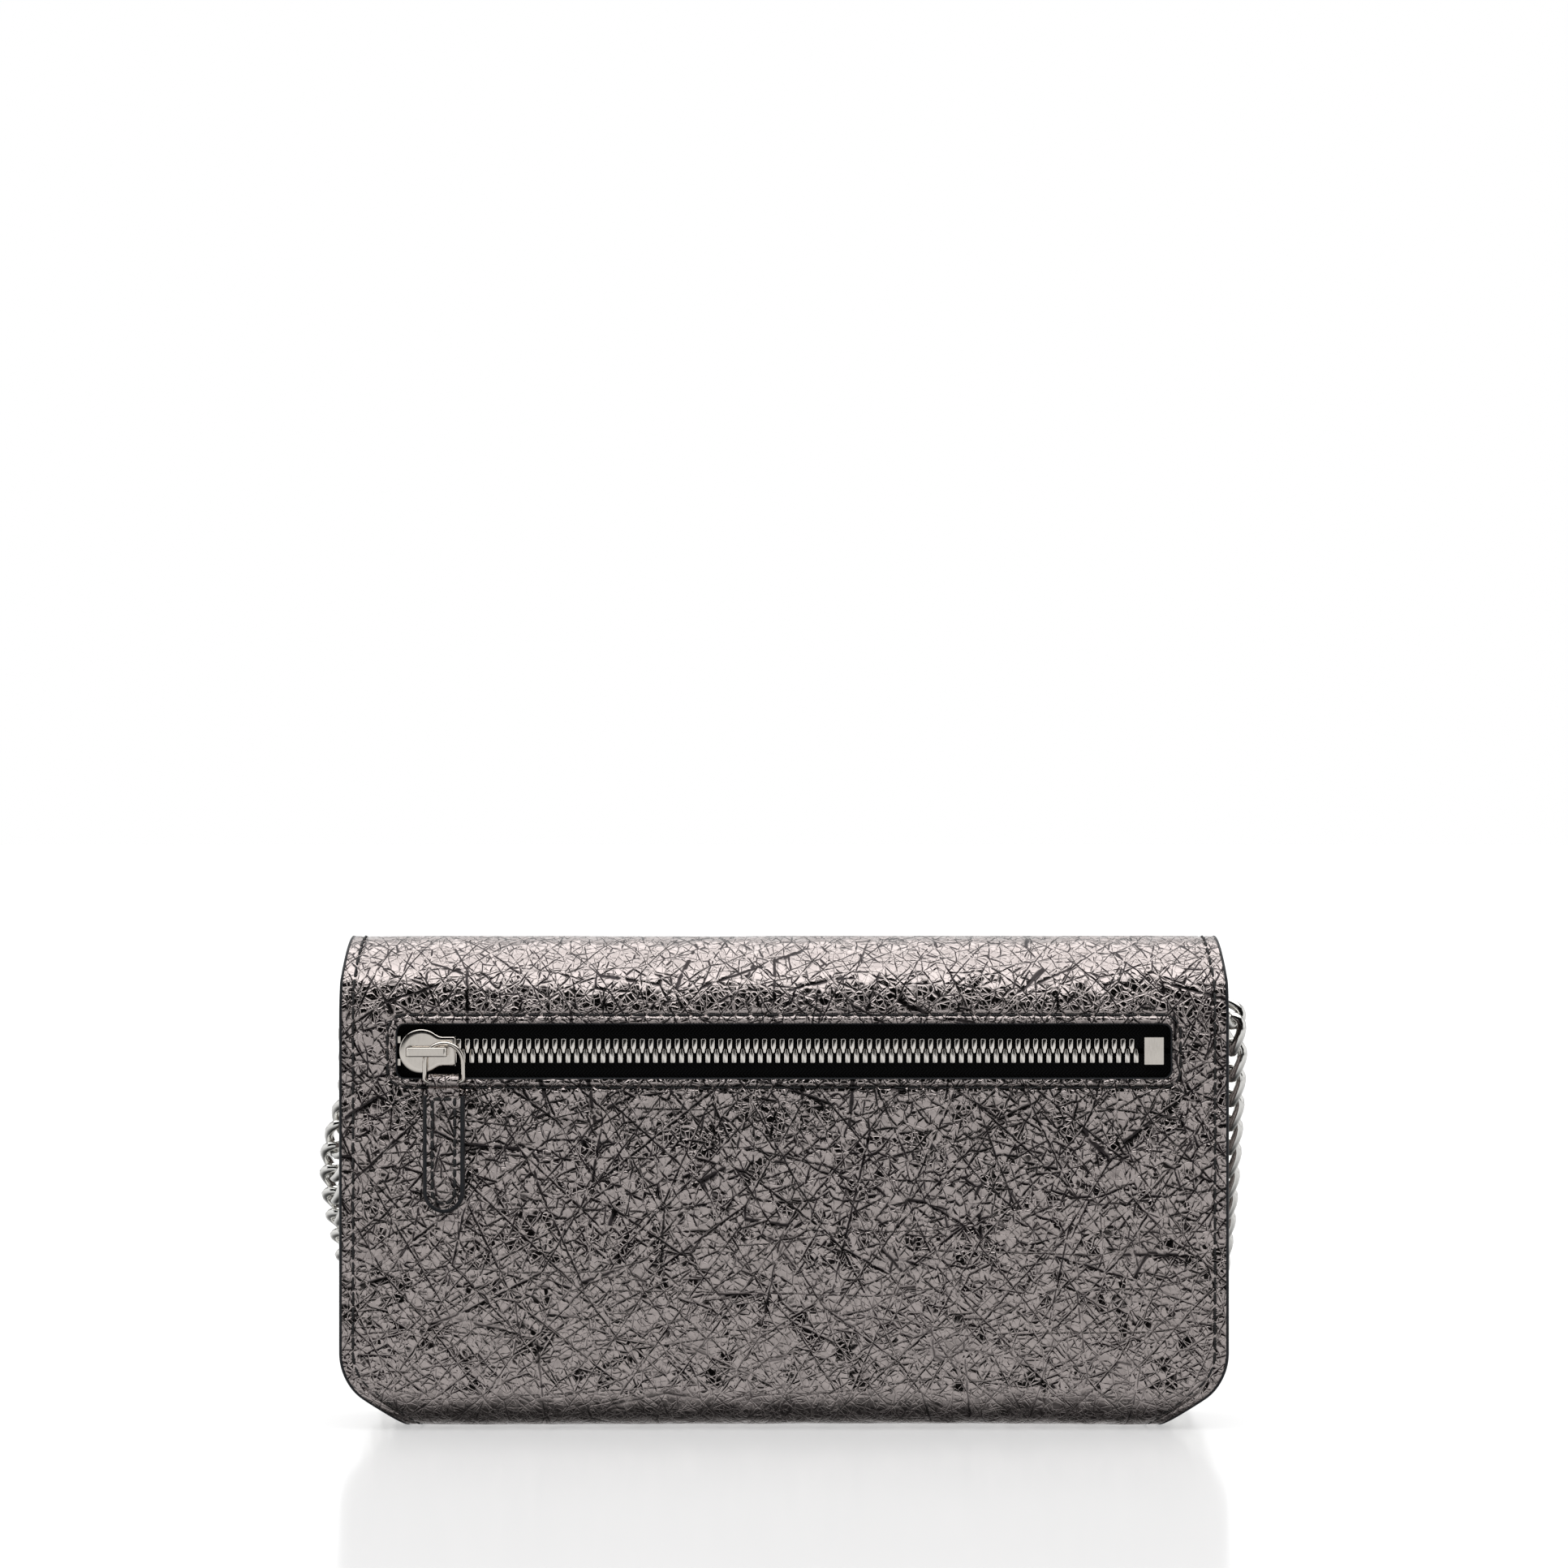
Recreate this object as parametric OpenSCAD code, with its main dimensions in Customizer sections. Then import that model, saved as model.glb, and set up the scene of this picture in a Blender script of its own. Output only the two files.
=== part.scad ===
// Wallet on a chain: a zipped back pocket, a card compartment under a rolled flap,
// and a curb chain whose spare length lies wound behind it.
// Axes: +X along the width, -Y the back with the zip, +Y the flap, +Z up; origin on the ground.

/* [Wallet body] */
// Width of the back panel, its widest part
body_w = 190; // [184:1:200]
// Height over the rolled top
body_h = 105; // [100:1:112]
// Depth over the flap
body_d = 34; // [34:1:38]
// Thickness of the outer leather
leather_t = 1.2; // [0.9:0.1:1.3]
// Radius of the rolled bottom edges
base_r = 9; // [7:0.5:10]
// Half width of the strip that rests on the ground
base_half_w = 81; // [76:1:81]

/* [Flap and front wall] */
// Height of the flap's lower edge
flap_bottom = 32; // [30:1:45]
// Radius of the flap's lower corners
flap_corner_r = 18; // [8:1:24]
// Width of the flap below the roll
flap_w = 182; // [170:1:182]
// Gap between the front wall and the closed flap
flap_gap = 2.2; // [2.2:0.1:2.6]
// Width of the front wall
front_w = 184; // [176:1:184]
// Height of the front wall
front_h = 83; // [78:1:84]
// Height of the press stud
snap_z = 46; // [44:1:60]

/* [Zip] */
// Width of the window in the back panel
window_w = 166; // [150:1:170]
// Height of the window
window_h = 12; // [11:0.5:13]
// Height of the middle of the teeth
zip_z = 81; // [80:0.5:81]
// Distance from tooth to tooth along one tape
tooth_pitch = 1.87; // [1.8:0.01:2.2]
// Number of teeth on each tape
tooth_count = 81; // [60:1:81]

/* [Pull] */
// Width of the leather pull tab
tab_w = 8; // [7:0.5:8]
// Height of the pull tab's lower end
tab_bottom = 47.2; // [40:0.1:56]

/* [Chain] */
// Width across the curb links
chain_w = 7.2; // [6:0.2:7.4]
// Thickness of the flat-lying links
chain_t = 4.2; // [3.6:0.2:4.4]
// Half length of the hank's straight runs
hank_half_l = 55; // [50:1:60]

/* [Hidden] */
$fn = 64;

// Depth-wise places, from the back face to the flap
back_y = -body_d / 2;
flap_y = body_d / 2;
roll_r = body_d / 2;
roll_z = body_h - roll_r;
lining_t = 0.6;
board_t = 0.6;
layers_t = leather_t + board_t + lining_t;
front_y = flap_y - layers_t - flap_gap;
wall_hinge_y = front_y - base_r;
cut_gap = 0.15;
far = 300;

// Back panel outline
corner_r = 12.5;
corner_z = 16.5;
strip_h = 5;
panel_cut_z = 20;
front_corner_r = front_w / 2 - base_half_w;
front_corner_z = 15;

// Zip stack behind the leather
tape_y = back_y + 2;
tape_t = 0.6;
tape_low = 70;
tape_high = 90;
tape_clear = 0.6;
tooth_h = 2.55;
tooth_w = 1.04;
tip_w = 0.7;
tip_reach = 0.5;
tooth_base = 0.55;
tooth_t = 2.1;
tooth_x0 = -75.2;
top_stop_x = -82.45;
stop_x = 77.1;
stop_w = 4.1;
stop_h = 5.8;
pocket_w = 172;
pocket_low = 12;
pocket_sheet_t = 0.4;
pocket_back_y = back_y + 5.4;
pocket_front_y = back_y + 2.4;

// Inside wall and its card slots
board_y = back_y + 5.9;
inner_y = back_y + 6.8;
inner_w = 175;
slot_t = 0.6;
slot_w = 86.4;
slot_tops = [50, 64, 78];

gusset_top = 83.5;
gusset_low = 5.6;

// Press stud
snap_plate_r = 6;

// Layers behind the front wall's leather
front_board_half = 88;
slip_half = 78;
slip_top = 66;

// Slider
head_x = -77.5;
head_r = 4.8;
nose_x = -70.1;
nose_h = 6.2;
plate_out_y = back_y - 0.25;
plate_in_y = back_y + 0.75;
under_in_y = back_y + 3.25;
under_out_y = back_y + 4.1;
channel_h = 5.6;
wedge_x = -79;
wedge_r = 1.1;
bridge_low_x = -80.6;
bridge_high_x = -71.7;
bridge_h = 2;
bridge_in_y = back_y - 2.6;
bridge_out_y = back_y - 3.7;
post_w = 1;

// Pull ring and tab
ring_y = back_y - 1.9;
ring_x = -72.5;
ring_r = 4.6;
ring_wire = 1;
ring_top_z = 83.3;
bar_z = 74.7;
loop_in_r = 0.8;
loop_out_r = 1.6;
loop_w = 6.4;
loop_low = 52;
leaf_top = 71.6;
leaf_t = 0.9;
core_t = 0.5;

// Rings at the sides
dring_x = 88.2;
dring_y = -7.3;
dring_z = 90;
dring_r = 5;
dring_wire_r = 1;
dtab_w = 6.4;

// Wound part of the chain
hank_y = 51.5;
hank_outer_r = 21.9;
hank_h = 2 * chain_t + 0.3;
tie_w = 6;
tie_reach = 11;
tie_depth = 15;

// Chain routes, from each side ring down to the hank
run_right = [
    [93, -7.3, 91], [96, -6.6, 89], [97, -5, 84], [97.1, -2, 76], [97.1, 2, 67],
    [97.1, 6.5, 58], [97, 11.5, 49], [96.8, 17, 40], [96.3, 23, 31], [95.4, 29.5, 23],
    [94, 36, 16], [91.5, 43, 10], [88, 50.3, 5.8], [82.5, 58.7, 3.4], [75, 66, 2.4],
    [66, 71.3, 2.2]
];
run_left = [
    [-92.8, -7.3, 86], [-93, -6.9, 81], [-93.2, -5.6, 75.5], [-93.8, -3.2, 70],
    [-95.9, 0, 64], [-98, 3.5, 57.5], [-98.8, 7.5, 50.5], [-98.5, 12, 43.5],
    [-97.6, 17.5, 36.5], [-96.4, 23.5, 29.5], [-95, 30, 22.5], [-93.2, 36.5, 16],
    [-91, 43.4, 10.5], [-88, 50.7, 6.4], [-82.5, 58.7, 4.8], [-75, 66, 5.6],
    [-66, 71.3, 6.4]
];
chain_sides = 8;

// ---- Shape helpers ----

// Extrudes a side view, drawn in Y and Z, across the width
module across(w) rotate([90, 0, 90]) linear_extrude(w, center = true) children();

// Extrudes a back view, drawn in X and Z, from y0 towards the flap
module sheet(y0, t) translate([0, y0 + t, 0]) rotate([90, 0, 0]) linear_extrude(t) children();

// A cylinder along Y, from y0 towards the flap
module disc(x, z, r, y0, t) translate([x, y0 + t, z]) rotate([90, 0, 0]) cylinder(h = t, r = r);

// Rectangle given by its edges
module area(x0, x1, z0, z1) translate([x0, z0]) square([x1 - x0, z1 - z0]);

// Rectangle with round corners, given by its edges
module round_area(x0, x1, z0, z1, r) {
    area(x0 + r, x1 - r, z0, z1);
    area(x0, x1, z0 + r, z1 - r);
    for (x = [x0 + r, x1 - r], z = [z0 + r, z1 - r]) translate([x, z]) circle(r);
}

// Panel outline: straight sides, and round lower corners whose edges run on slanting to the narrower base
module panel_outline(half_w, r, centre_z, top_z) {
    area(-half_w, half_w, centre_z, top_z);
    area(-base_half_w, base_half_w, -1, strip_h);
    hull() {
        area(-base_half_w, base_half_w, 0, strip_h);
        for (x = [r - half_w, half_w - r]) translate([x, centre_z]) circle(r);
    }
}

// Side view of the folded leather with its roll, inset from the outer face
module roll_region(inset) {
    translate([0, roll_z]) circle(roll_r - inset, $fn = 96);
    area(inset - roll_r, roll_r - inset, panel_cut_z - 10, roll_z);
}

// Side view of the pocket body, open upwards, inset from the outer face
module body_region(inset) {
    r = base_r - inset;
    area(back_y + inset, front_y - inset, base_r, far);
    area(back_y + base_r, front_y - base_r, inset, base_r);
    for (y = [back_y + base_r, front_y - base_r]) translate([y, base_r]) circle(r);
}

module roll_band(outer, inner) {
    difference() {
        roll_region(outer);
        roll_region(inner);
    }
}

module body_band(outer, inner) {
    difference() {
        body_region(outer);
        body_region(inner);
    }
}

// ---- Wallet body ----

module back_panel() {
    color([0.44, 0.41, 0.4])
    difference() {
        intersection() {
            across(body_w + 2) {
                intersection() {
                    roll_band(0, leather_t);
                    area(-far, -cut_gap, panel_cut_z, far);
                }
                intersection() {
                    body_band(0, leather_t);
                    area(-far, wall_hinge_y - cut_gap, -1, panel_cut_z);
                }
            }
            sheet(back_y - 1, body_d)
                panel_outline(body_w / 2, corner_r, corner_z, body_h + 1);
        }
        sheet(back_y - 1, leather_t + 2)
            round_area(-window_w / 2, window_w / 2, zip_z - window_h / 2, zip_z + window_h / 2, 2);
    }
}

module window_reinforcement() {
    margin = 4;
    color([0.2, 0.2, 0.2])
    sheet(back_y + 1.3, 0.35) difference() {
        area(-window_w / 2 - margin, window_w / 2 + margin, zip_z - window_h / 2 - margin, roll_z + 1);
        area(-window_w / 2 - 0.5, window_w / 2 + 0.5, zip_z - window_h / 2 - 0.5, zip_z + window_h / 2 + 0.5);
    }
}

// One tape half; its edge stands back where the two tapes part at the slider's head
module zip_tape(low, high, side) {
    part_x = head_x - 0.5;
    part_gap = 1.6;
    color([0.04, 0.04, 0.045])
    sheet(tape_y - tape_t / 2, tape_t) difference() {
        area(-pocket_w / 2, pocket_w / 2, low, high);
        area(-far, part_x, zip_z + min(side, 0) * part_gap, zip_z + max(side, 0) * part_gap);
    }
}

module zip_tape_upper() zip_tape(zip_z + tape_clear, tape_high, 1);

module zip_tape_lower() zip_tape(tape_low, zip_z - tape_clear, -1);

// A row of teeth: a wide foot on the tape and a narrow tip across the middle
module teeth_row(side, shift) {
    color([0.72, 0.7, 0.67])
    for (i = [0 : tooth_count - 1])
        translate([tooth_x0 + shift + i * tooth_pitch, 0, zip_z])
        mirror([0, 0, side < 0 ? 1 : 0])
        sheet(tape_y - tooth_t / 2, tooth_t)
        difference() {
            area(-tooth_w / 2, tooth_w / 2, -tip_reach, tooth_h);
            area(tip_w / 2, tooth_w, -tip_reach - 1, tooth_base);
            area(-tooth_w, -tip_w / 2, -tip_reach - 1, tooth_base);
        }
}

// The teeth hold their tape in a slot
module zip_teeth(side, shift, low, high) {
    difference() {
        teeth_row(side, shift);
        sheet(tape_y - tape_t / 2, tape_t) area(-far, far, low, high);
    }
}

module zip_teeth_upper() zip_teeth(1, 0, zip_z + tape_clear, tape_high);

module zip_teeth_lower() zip_teeth(-1, tooth_pitch / 2, tape_low, zip_z - tape_clear);

module zip_bottom_stop() {
    color([0.78, 0.76, 0.74])
    difference() {
        sheet(tape_y - 1.2, 2.4) area(stop_x, stop_x + stop_w, zip_z - stop_h / 2, zip_z + stop_h / 2);
        sheet(tape_y - tape_t / 2, tape_t) area(-far, far, zip_z - far, zip_z - tape_clear);
        sheet(tape_y - tape_t / 2, tape_t) area(-far, far, zip_z + tape_clear, zip_z + far);
    }
}

module zip_top_stops() {
    color([0.78, 0.76, 0.74])
    for (side = [-1, 1])
        translate([top_stop_x, 0, zip_z + side * 2.4])
        difference() {
            sheet(tape_y - 1, 2) area(-0.4, 0.4, -0.7, 0.7);
            sheet(tape_y - tape_t / 2, tape_t) area(-2, 2, -2, 2);
        }
}

module zip_pocket_front() {
    color([0.1, 0.1, 0.11])
    sheet(pocket_front_y, pocket_sheet_t)
        area(-pocket_w / 2, pocket_w / 2, pocket_low, zip_z - window_h / 2 - 1);
}

// The back sheet of the pocket bag, with the seam allowance that closes its sides and bottom
module zip_pocket_back() {
    rim = 0.8;
    rim_t = pocket_back_y - pocket_front_y - pocket_sheet_t;
    color([0.1, 0.1, 0.11]) {
        sheet(pocket_back_y, pocket_sheet_t) area(-pocket_w / 2, pocket_w / 2, pocket_low, tape_high);
        sheet(pocket_back_y - rim_t, rim_t) difference() {
            area(-pocket_w / 2, pocket_w / 2, pocket_low, tape_high);
            area(rim - pocket_w / 2, pocket_w / 2 - rim, pocket_low + rim, far);
        }
    }
}

module back_board() {
    color([0.55, 0.48, 0.38])
    sheet(board_y, board_t) area(-inner_w / 2, inner_w / 2, base_r, tape_high);
}

// Linings and pockets stay inside the back panel's corners
module inner_outline() panel_outline(body_w / 2 - 2, corner_r - 2, corner_z, body_h);

module back_lining() {
    color([0.16, 0.15, 0.15])
    sheet(inner_y, lining_t) intersection() {
        area(-inner_w / 2, inner_w / 2, 3, roll_z + 10.3);
        inner_outline();
    }
}

module top_lining() {
    color([0.16, 0.15, 0.15])
    across(inner_w) intersection() {
        roll_band(leather_t + board_t, layers_t);
        area(-far, -cut_gap, tape_high + 0.5, far);
    }
}

// Card slots: the top row is hindmost, and each lower row lies before it
module card_slot(side, row) {
    step = slot_t + 0.1;
    color([0.2, 0.19, 0.19])
    sheet(inner_y + lining_t + (2 - row) * step, slot_t)
    difference() {
        intersection() {
            translate([side * (slot_w / 2 + 0.6), 0]) area(-slot_w / 2, slot_w / 2, 4, slot_tops[row]);
            inner_outline();
        }
        translate([side * (slot_w / 2 + 0.6), slot_tops[row] + 14]) circle(18);
    }
}

module card_slot_left_top() card_slot(-1, 2);

module card_slot_left_middle() card_slot(-1, 1);

module card_slot_left_bottom() card_slot(-1, 0);

module card_slot_right_top() card_slot(1, 2);

module card_slot_right_middle() card_slot(1, 1);

module card_slot_right_bottom() card_slot(1, 0);

module bottom_board() {
    color([0.16, 0.15, 0.15])
    translate([0, 0, leather_t + 0.1])
    linear_extrude(0.8)
        area(-base_half_w + 1.5, base_half_w - 1.5, -8.5, wall_hinge_y - 0.4);
}

// Side gusset: a pleated strip from the back panel to the front wall
module gusset(side) {
    back_edge = back_y + 1.3;
    front_edge = front_y - layers_t - 0.3;
    fold_y = -0.5;
    fold_x = 80;
    leg_x = 88.3;
    t = 0.8;
    color([0.1, 0.1, 0.105])
    mirror([side < 0 ? 1 : 0, 0, 0])
    intersection() {
        translate([0, 0, gusset_low]) linear_extrude(gusset_top - gusset_low) polygon([
            [93.5, back_edge], [93.5, back_edge + t], [leg_x + t, back_edge + t],
            [leg_x + t, -7.4], [fold_x + 1, fold_y], [85.9, front_edge - t],
            [89.4, front_edge - t], [89.4, front_edge], [85.4, front_edge],
            [fold_x, fold_y], [leg_x, -7.7], [leg_x, back_edge]
        ]);
        sheet(back_y, body_d)
            panel_outline(body_w / 2 - 1.5, corner_r - 1.5, corner_z, body_h);
    }
}

module gusset_left() gusset(-1);

module gusset_right() gusset(1);

// Folded leather strap that holds a side ring by its bar
module dring_tab(side) {
    bore_r = dring_wire_r + 0.1;
    outer_r = bore_r + 1.1;
    color([0.42, 0.39, 0.38])
    mirror([side < 0 ? 1 : 0, 0, 0])
    translate([0, 0, dring_z - dtab_w / 2])
    difference() {
        union() {
            translate([dring_x, dring_y, 0]) cylinder(h = dtab_w, r = outer_r);
            translate([dring_x - 10, dring_y - outer_r, 0]) cube([10, outer_r, dtab_w]);
        }
        translate([dring_x, dring_y, -1]) cylinder(h = dtab_w + 2, r = bore_r);
    }
}

module dring_tab_left() dring_tab(-1);

module dring_tab_right() dring_tab(1);

// D-shaped ring: a straight bar along Z and a half-round bow beside it
module dring(side) {
    color([0.8, 0.79, 0.77])
    mirror([side < 0 ? 1 : 0, 0, 0])
    translate([dring_x, dring_y, dring_z]) {
        translate([0, 0, -dring_r]) cylinder(h = 2 * dring_r, r = dring_wire_r);
        for (z = [-dring_r, dring_r]) translate([0, 0, z]) sphere(dring_wire_r);
        rotate([90, 0, 0]) rotate([0, 0, -90])
            rotate_extrude(angle = 180) translate([dring_r, 0]) circle(dring_wire_r, $fn = 32);
    }
}

module dring_left() dring(-1);

module dring_right() dring(1);

// ---- Front wall ----

module front_panel() {
    color([0.44, 0.41, 0.4])
    difference() {
        intersection() {
            across(front_w + 2) intersection() {
                body_band(0, leather_t);
                area(wall_hinge_y + cut_gap, far, -1, front_h);
            }
            sheet(-1, body_d)
                panel_outline(front_w / 2, front_corner_r, front_corner_z, front_h + 1);
        }
        disc(0, snap_z, 1.6, front_y - leather_t - 1, leather_t + 2);
    }
}

module front_board() {
    color([0.55, 0.48, 0.38])
    difference() {
        sheet(front_y - leather_t - board_t, board_t)
            area(-front_board_half, front_board_half, base_r + 0.5, front_h - 1);
        disc(0, snap_z, snap_plate_r + 0.3, front_y - leather_t - board_t - 1, board_t + 2);
    }
}

module front_lining() {
    color([0.16, 0.15, 0.15])
    sheet(front_y - layers_t, lining_t) area(-front_board_half, front_board_half, base_r + 0.5, front_h - 0.5);
}

module front_slip_pocket() {
    color([0.2, 0.19, 0.19])
    sheet(front_y - layers_t - slot_t, slot_t) area(-slip_half, slip_half, base_r + 1, slip_top);
}

// Press stud: a stem through the leather, a washer and a post
module snap_stud() {
    color([0.8, 0.79, 0.77]) {
        disc(0, snap_z, 1.4, front_y - leather_t, leather_t);
        disc(0, snap_z, 4.4, front_y, 0.3);
        disc(0, snap_z, 2, front_y, 1.7);
    }
}

module snap_stud_plate() {
    color([0.6, 0.58, 0.55])
    disc(0, snap_z, snap_plate_r, front_y - leather_t - board_t, board_t);
}

// ---- Flap ----

// Back view of the flap, which narrows just below the roll
module flap_outline(inset, low) {
    half = flap_w / 2 - inset;
    r = flap_corner_r - inset;
    top_half = body_w / 2 - 1 - inset;
    polygon([
        [-half, low + r], [half, low + r], [half, roll_z - 3],
        [top_half, roll_z + 8], [top_half, body_h + 1],
        [-top_half, body_h + 1], [-top_half, roll_z + 8], [-half, roll_z - 3]
    ]);
    area(r - half, half - r, low, low + r);
    for (x = [r - half, half - r]) translate([x, low + r]) circle(r);
}

module flap_layer(outer, inner, inset) {
    intersection() {
        across(body_w + 2) intersection() {
            roll_band(outer, inner);
            area(cut_gap, far, panel_cut_z, far);
        }
        sheet(-1, body_d) flap_outline(inset, flap_bottom + inset);
    }
}

module flap_leather() {
    color([0.44, 0.41, 0.4]) flap_layer(0, leather_t, 0);
}

module flap_board() {
    color([0.55, 0.48, 0.38])
    difference() {
        flap_layer(leather_t, leather_t + board_t, 3);
        disc(0, snap_z, snap_plate_r + 0.3, flap_y - leather_t - board_t - 1, board_t + 2);
    }
}

module flap_lining() {
    color([0.16, 0.15, 0.15])
    difference() {
        flap_layer(leather_t + board_t, layers_t, 1);
        disc(0, snap_z, 3, flap_y - layers_t - 1, lining_t + 2);
    }
}

module snap_socket() {
    face_y = flap_y - layers_t;
    wall_t = flap_gap - 0.6;
    color([0.8, 0.79, 0.77])
    difference() {
        union() {
            disc(0, snap_z, 5, face_y - wall_t, wall_t);
            disc(0, snap_z, 2.9, face_y, lining_t);
        }
        disc(0, snap_z, 2.35, face_y - wall_t - 1, wall_t + 1.2);
    }
}

module snap_socket_plate() {
    color([0.6, 0.58, 0.55])
    disc(0, snap_z, snap_plate_r, flap_y - leather_t - board_t, board_t);
}

// ---- Zip slider and its pull ----

module slider_outline(grow) {
    translate([head_x, zip_z]) circle(head_r + grow);
    area(head_x, nose_x, zip_z - nose_h / 2 - grow, zip_z + nose_h / 2 + grow);
}

// Two plates joined by the wedge that parts the teeth; flanges guide the tapes
module slider_body() {
    flange = 0.55;
    color([0.8, 0.79, 0.77])
    difference() {
        sheet(plate_out_y, under_out_y - plate_out_y) slider_outline(0);
        difference() {
            sheet(plate_in_y, under_in_y - plate_in_y)
                area(-far, far, zip_z - channel_h / 2, zip_z + channel_h / 2);
            disc(wedge_x, zip_z, wedge_r, plate_in_y, under_in_y - plate_in_y);
        }
        sheet(plate_in_y + flange, under_in_y - plate_in_y - 2 * flange) difference() {
            area(-far, far, zip_z - far, zip_z + far);
            area(-far, far, zip_z - channel_h / 2, zip_z + channel_h / 2);
        }
    }
}

module slider_bridge() {
    post_t = plate_out_y - bridge_in_y;
    color([0.8, 0.79, 0.77]) {
        sheet(bridge_out_y, bridge_in_y - bridge_out_y)
            area(bridge_low_x, bridge_high_x, zip_z - bridge_h / 2, zip_z + bridge_h / 2);
        for (x = [bridge_low_x, bridge_high_x - post_w])
            sheet(bridge_in_y, post_t) area(x, x + post_w, zip_z - bridge_h / 2, zip_z + bridge_h / 2);
    }
}

// Flat ring with a round top and a straight bar at the bottom
module pull_ring() {
    color([0.8, 0.79, 0.77])
    sheet(ring_y - ring_wire / 2, ring_wire) difference() {
        ring_outline(ring_r, bar_z - ring_wire / 2);
        ring_outline(ring_r - ring_wire, bar_z + ring_wire / 2);
    }
}

module ring_outline(r, low) {
    translate([ring_x, ring_top_z - ring_r]) circle(r);
    area(ring_x - r, ring_x + r, low, ring_top_z - ring_r);
}

// Narrow strip folded over the ring's bar, its legs joined between the tab's leaves
module tab_loop() {
    color([0.42, 0.39, 0.38])
    translate([ring_x, 0, 0])
    difference() {
        across(loop_w) {
            translate([ring_y, bar_z]) circle(loop_out_r, $fn = 48);
            area(ring_y - 0.75, ring_y + 0.75, leaf_top, bar_z);
            area(ring_y - core_t / 2, ring_y + core_t / 2, loop_low, leaf_top);
        }
        across(loop_w + 2) translate([ring_y, bar_z]) circle(loop_in_r, $fn = 48);
    }
}

module tab_leaf(y) {
    r = tab_w / 2;
    color([0.42, 0.39, 0.38])
    sheet(y, leaf_t) {
        translate([ring_x, tab_bottom + r]) circle(r);
        area(ring_x - r, ring_x + r, tab_bottom + r, leaf_top);
    }
}

module tab_front() tab_leaf(ring_y - core_t / 2 - leaf_t);

module tab_back() tab_leaf(ring_y + core_t / 2);

// ---- Chain ----

function unit(v) = v / norm(v);
function route_dir(p, i) = unit(p[min(i + 1, len(p) - 1)] - p[max(i - 1, 0)]);
function section_point(p, i, k) =
    let(d = route_dir(p, i), side = unit(cross(d, [0, 0, 1])), up = cross(side, d))
    let(a = 360 * k / chain_sides)
    p[i] + side * chain_w / 2 * cos(a) + up * chain_t / 2 * sin(a);

// Flat tube swept along a route, as broad and as thick as the links
module chain_run(route) {
    n = chain_sides;
    last = (len(route) - 1) * n;
    points = [for (i = [0 : len(route) - 1], k = [0 : n - 1]) section_point(route, i, k)];
    walls = [
        for (i = [0 : len(route) - 2], k = [0 : n - 1], half = [0, 1])
        let(a = i * n + k, b = i * n + (k + 1) % n)
        half == 0 ? [a, b, b + n] : [a, b + n, a + n]
    ];
    start_cap = [[for (k = [n - 1 : -1 : 0]) k]];
    end_cap = [[for (k = [0 : n - 1]) last + k]];
    color([0.82, 0.81, 0.79]) polyhedron(points, concat(walls, start_cap, end_cap), convexity = 6);
}

module chain_run_left() chain_run(run_left);

module chain_run_right() chain_run(run_right);

// The wound length: an outline with round ends
module chain_hank() {
    r = hank_outer_r + chain_w / 2;
    color([0.82, 0.81, 0.79])
    difference() {
        translate([0, hank_y, 0.1]) linear_extrude(hank_h) {
            area(-hank_half_l, hank_half_l, -r, r);
            for (x = [-hank_half_l, hank_half_l]) translate([x, 0]) circle(r);
        }
        tie_space(0.1);
    }
}

// Where the tie wraps the runs that lie furthest from the wallet
module tie_space(gap) {
    translate([-tie_w / 2 - gap, hank_y + hank_outer_r - tie_reach - gap, -1])
        cube([tie_w + 2 * gap, tie_depth + 1, hank_h + 2]);
}

module chain_tie() {
    color([0.05, 0.05, 0.05])
    translate([-tie_w / 2, hank_y + hank_outer_r - tie_reach, 0.1]) cube([tie_w, tie_depth, hank_h]);
}

back_panel();
window_reinforcement();
zip_tape_upper();
zip_tape_lower();
zip_teeth_upper();
zip_teeth_lower();
zip_bottom_stop();
zip_top_stops();
zip_pocket_front();
zip_pocket_back();
back_board();
back_lining();
top_lining();
card_slot_left_top();
card_slot_left_middle();
card_slot_left_bottom();
card_slot_right_top();
card_slot_right_middle();
card_slot_right_bottom();
bottom_board();
gusset_left();
gusset_right();
dring_tab_left();
dring_tab_right();
dring_left();
dring_right();
front_panel();
front_board();
front_lining();
front_slip_pocket();
snap_stud();
snap_stud_plate();
flap_leather();
flap_board();
flap_lining();
snap_socket();
snap_socket_plate();
slider_body();
slider_bridge();
pull_ring();
tab_loop();
tab_front();
tab_back();
chain_run_left();
chain_run_right();
chain_hank();
chain_tie();
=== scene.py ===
"""Chain wallet: the visible model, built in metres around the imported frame."""
import math

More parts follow.
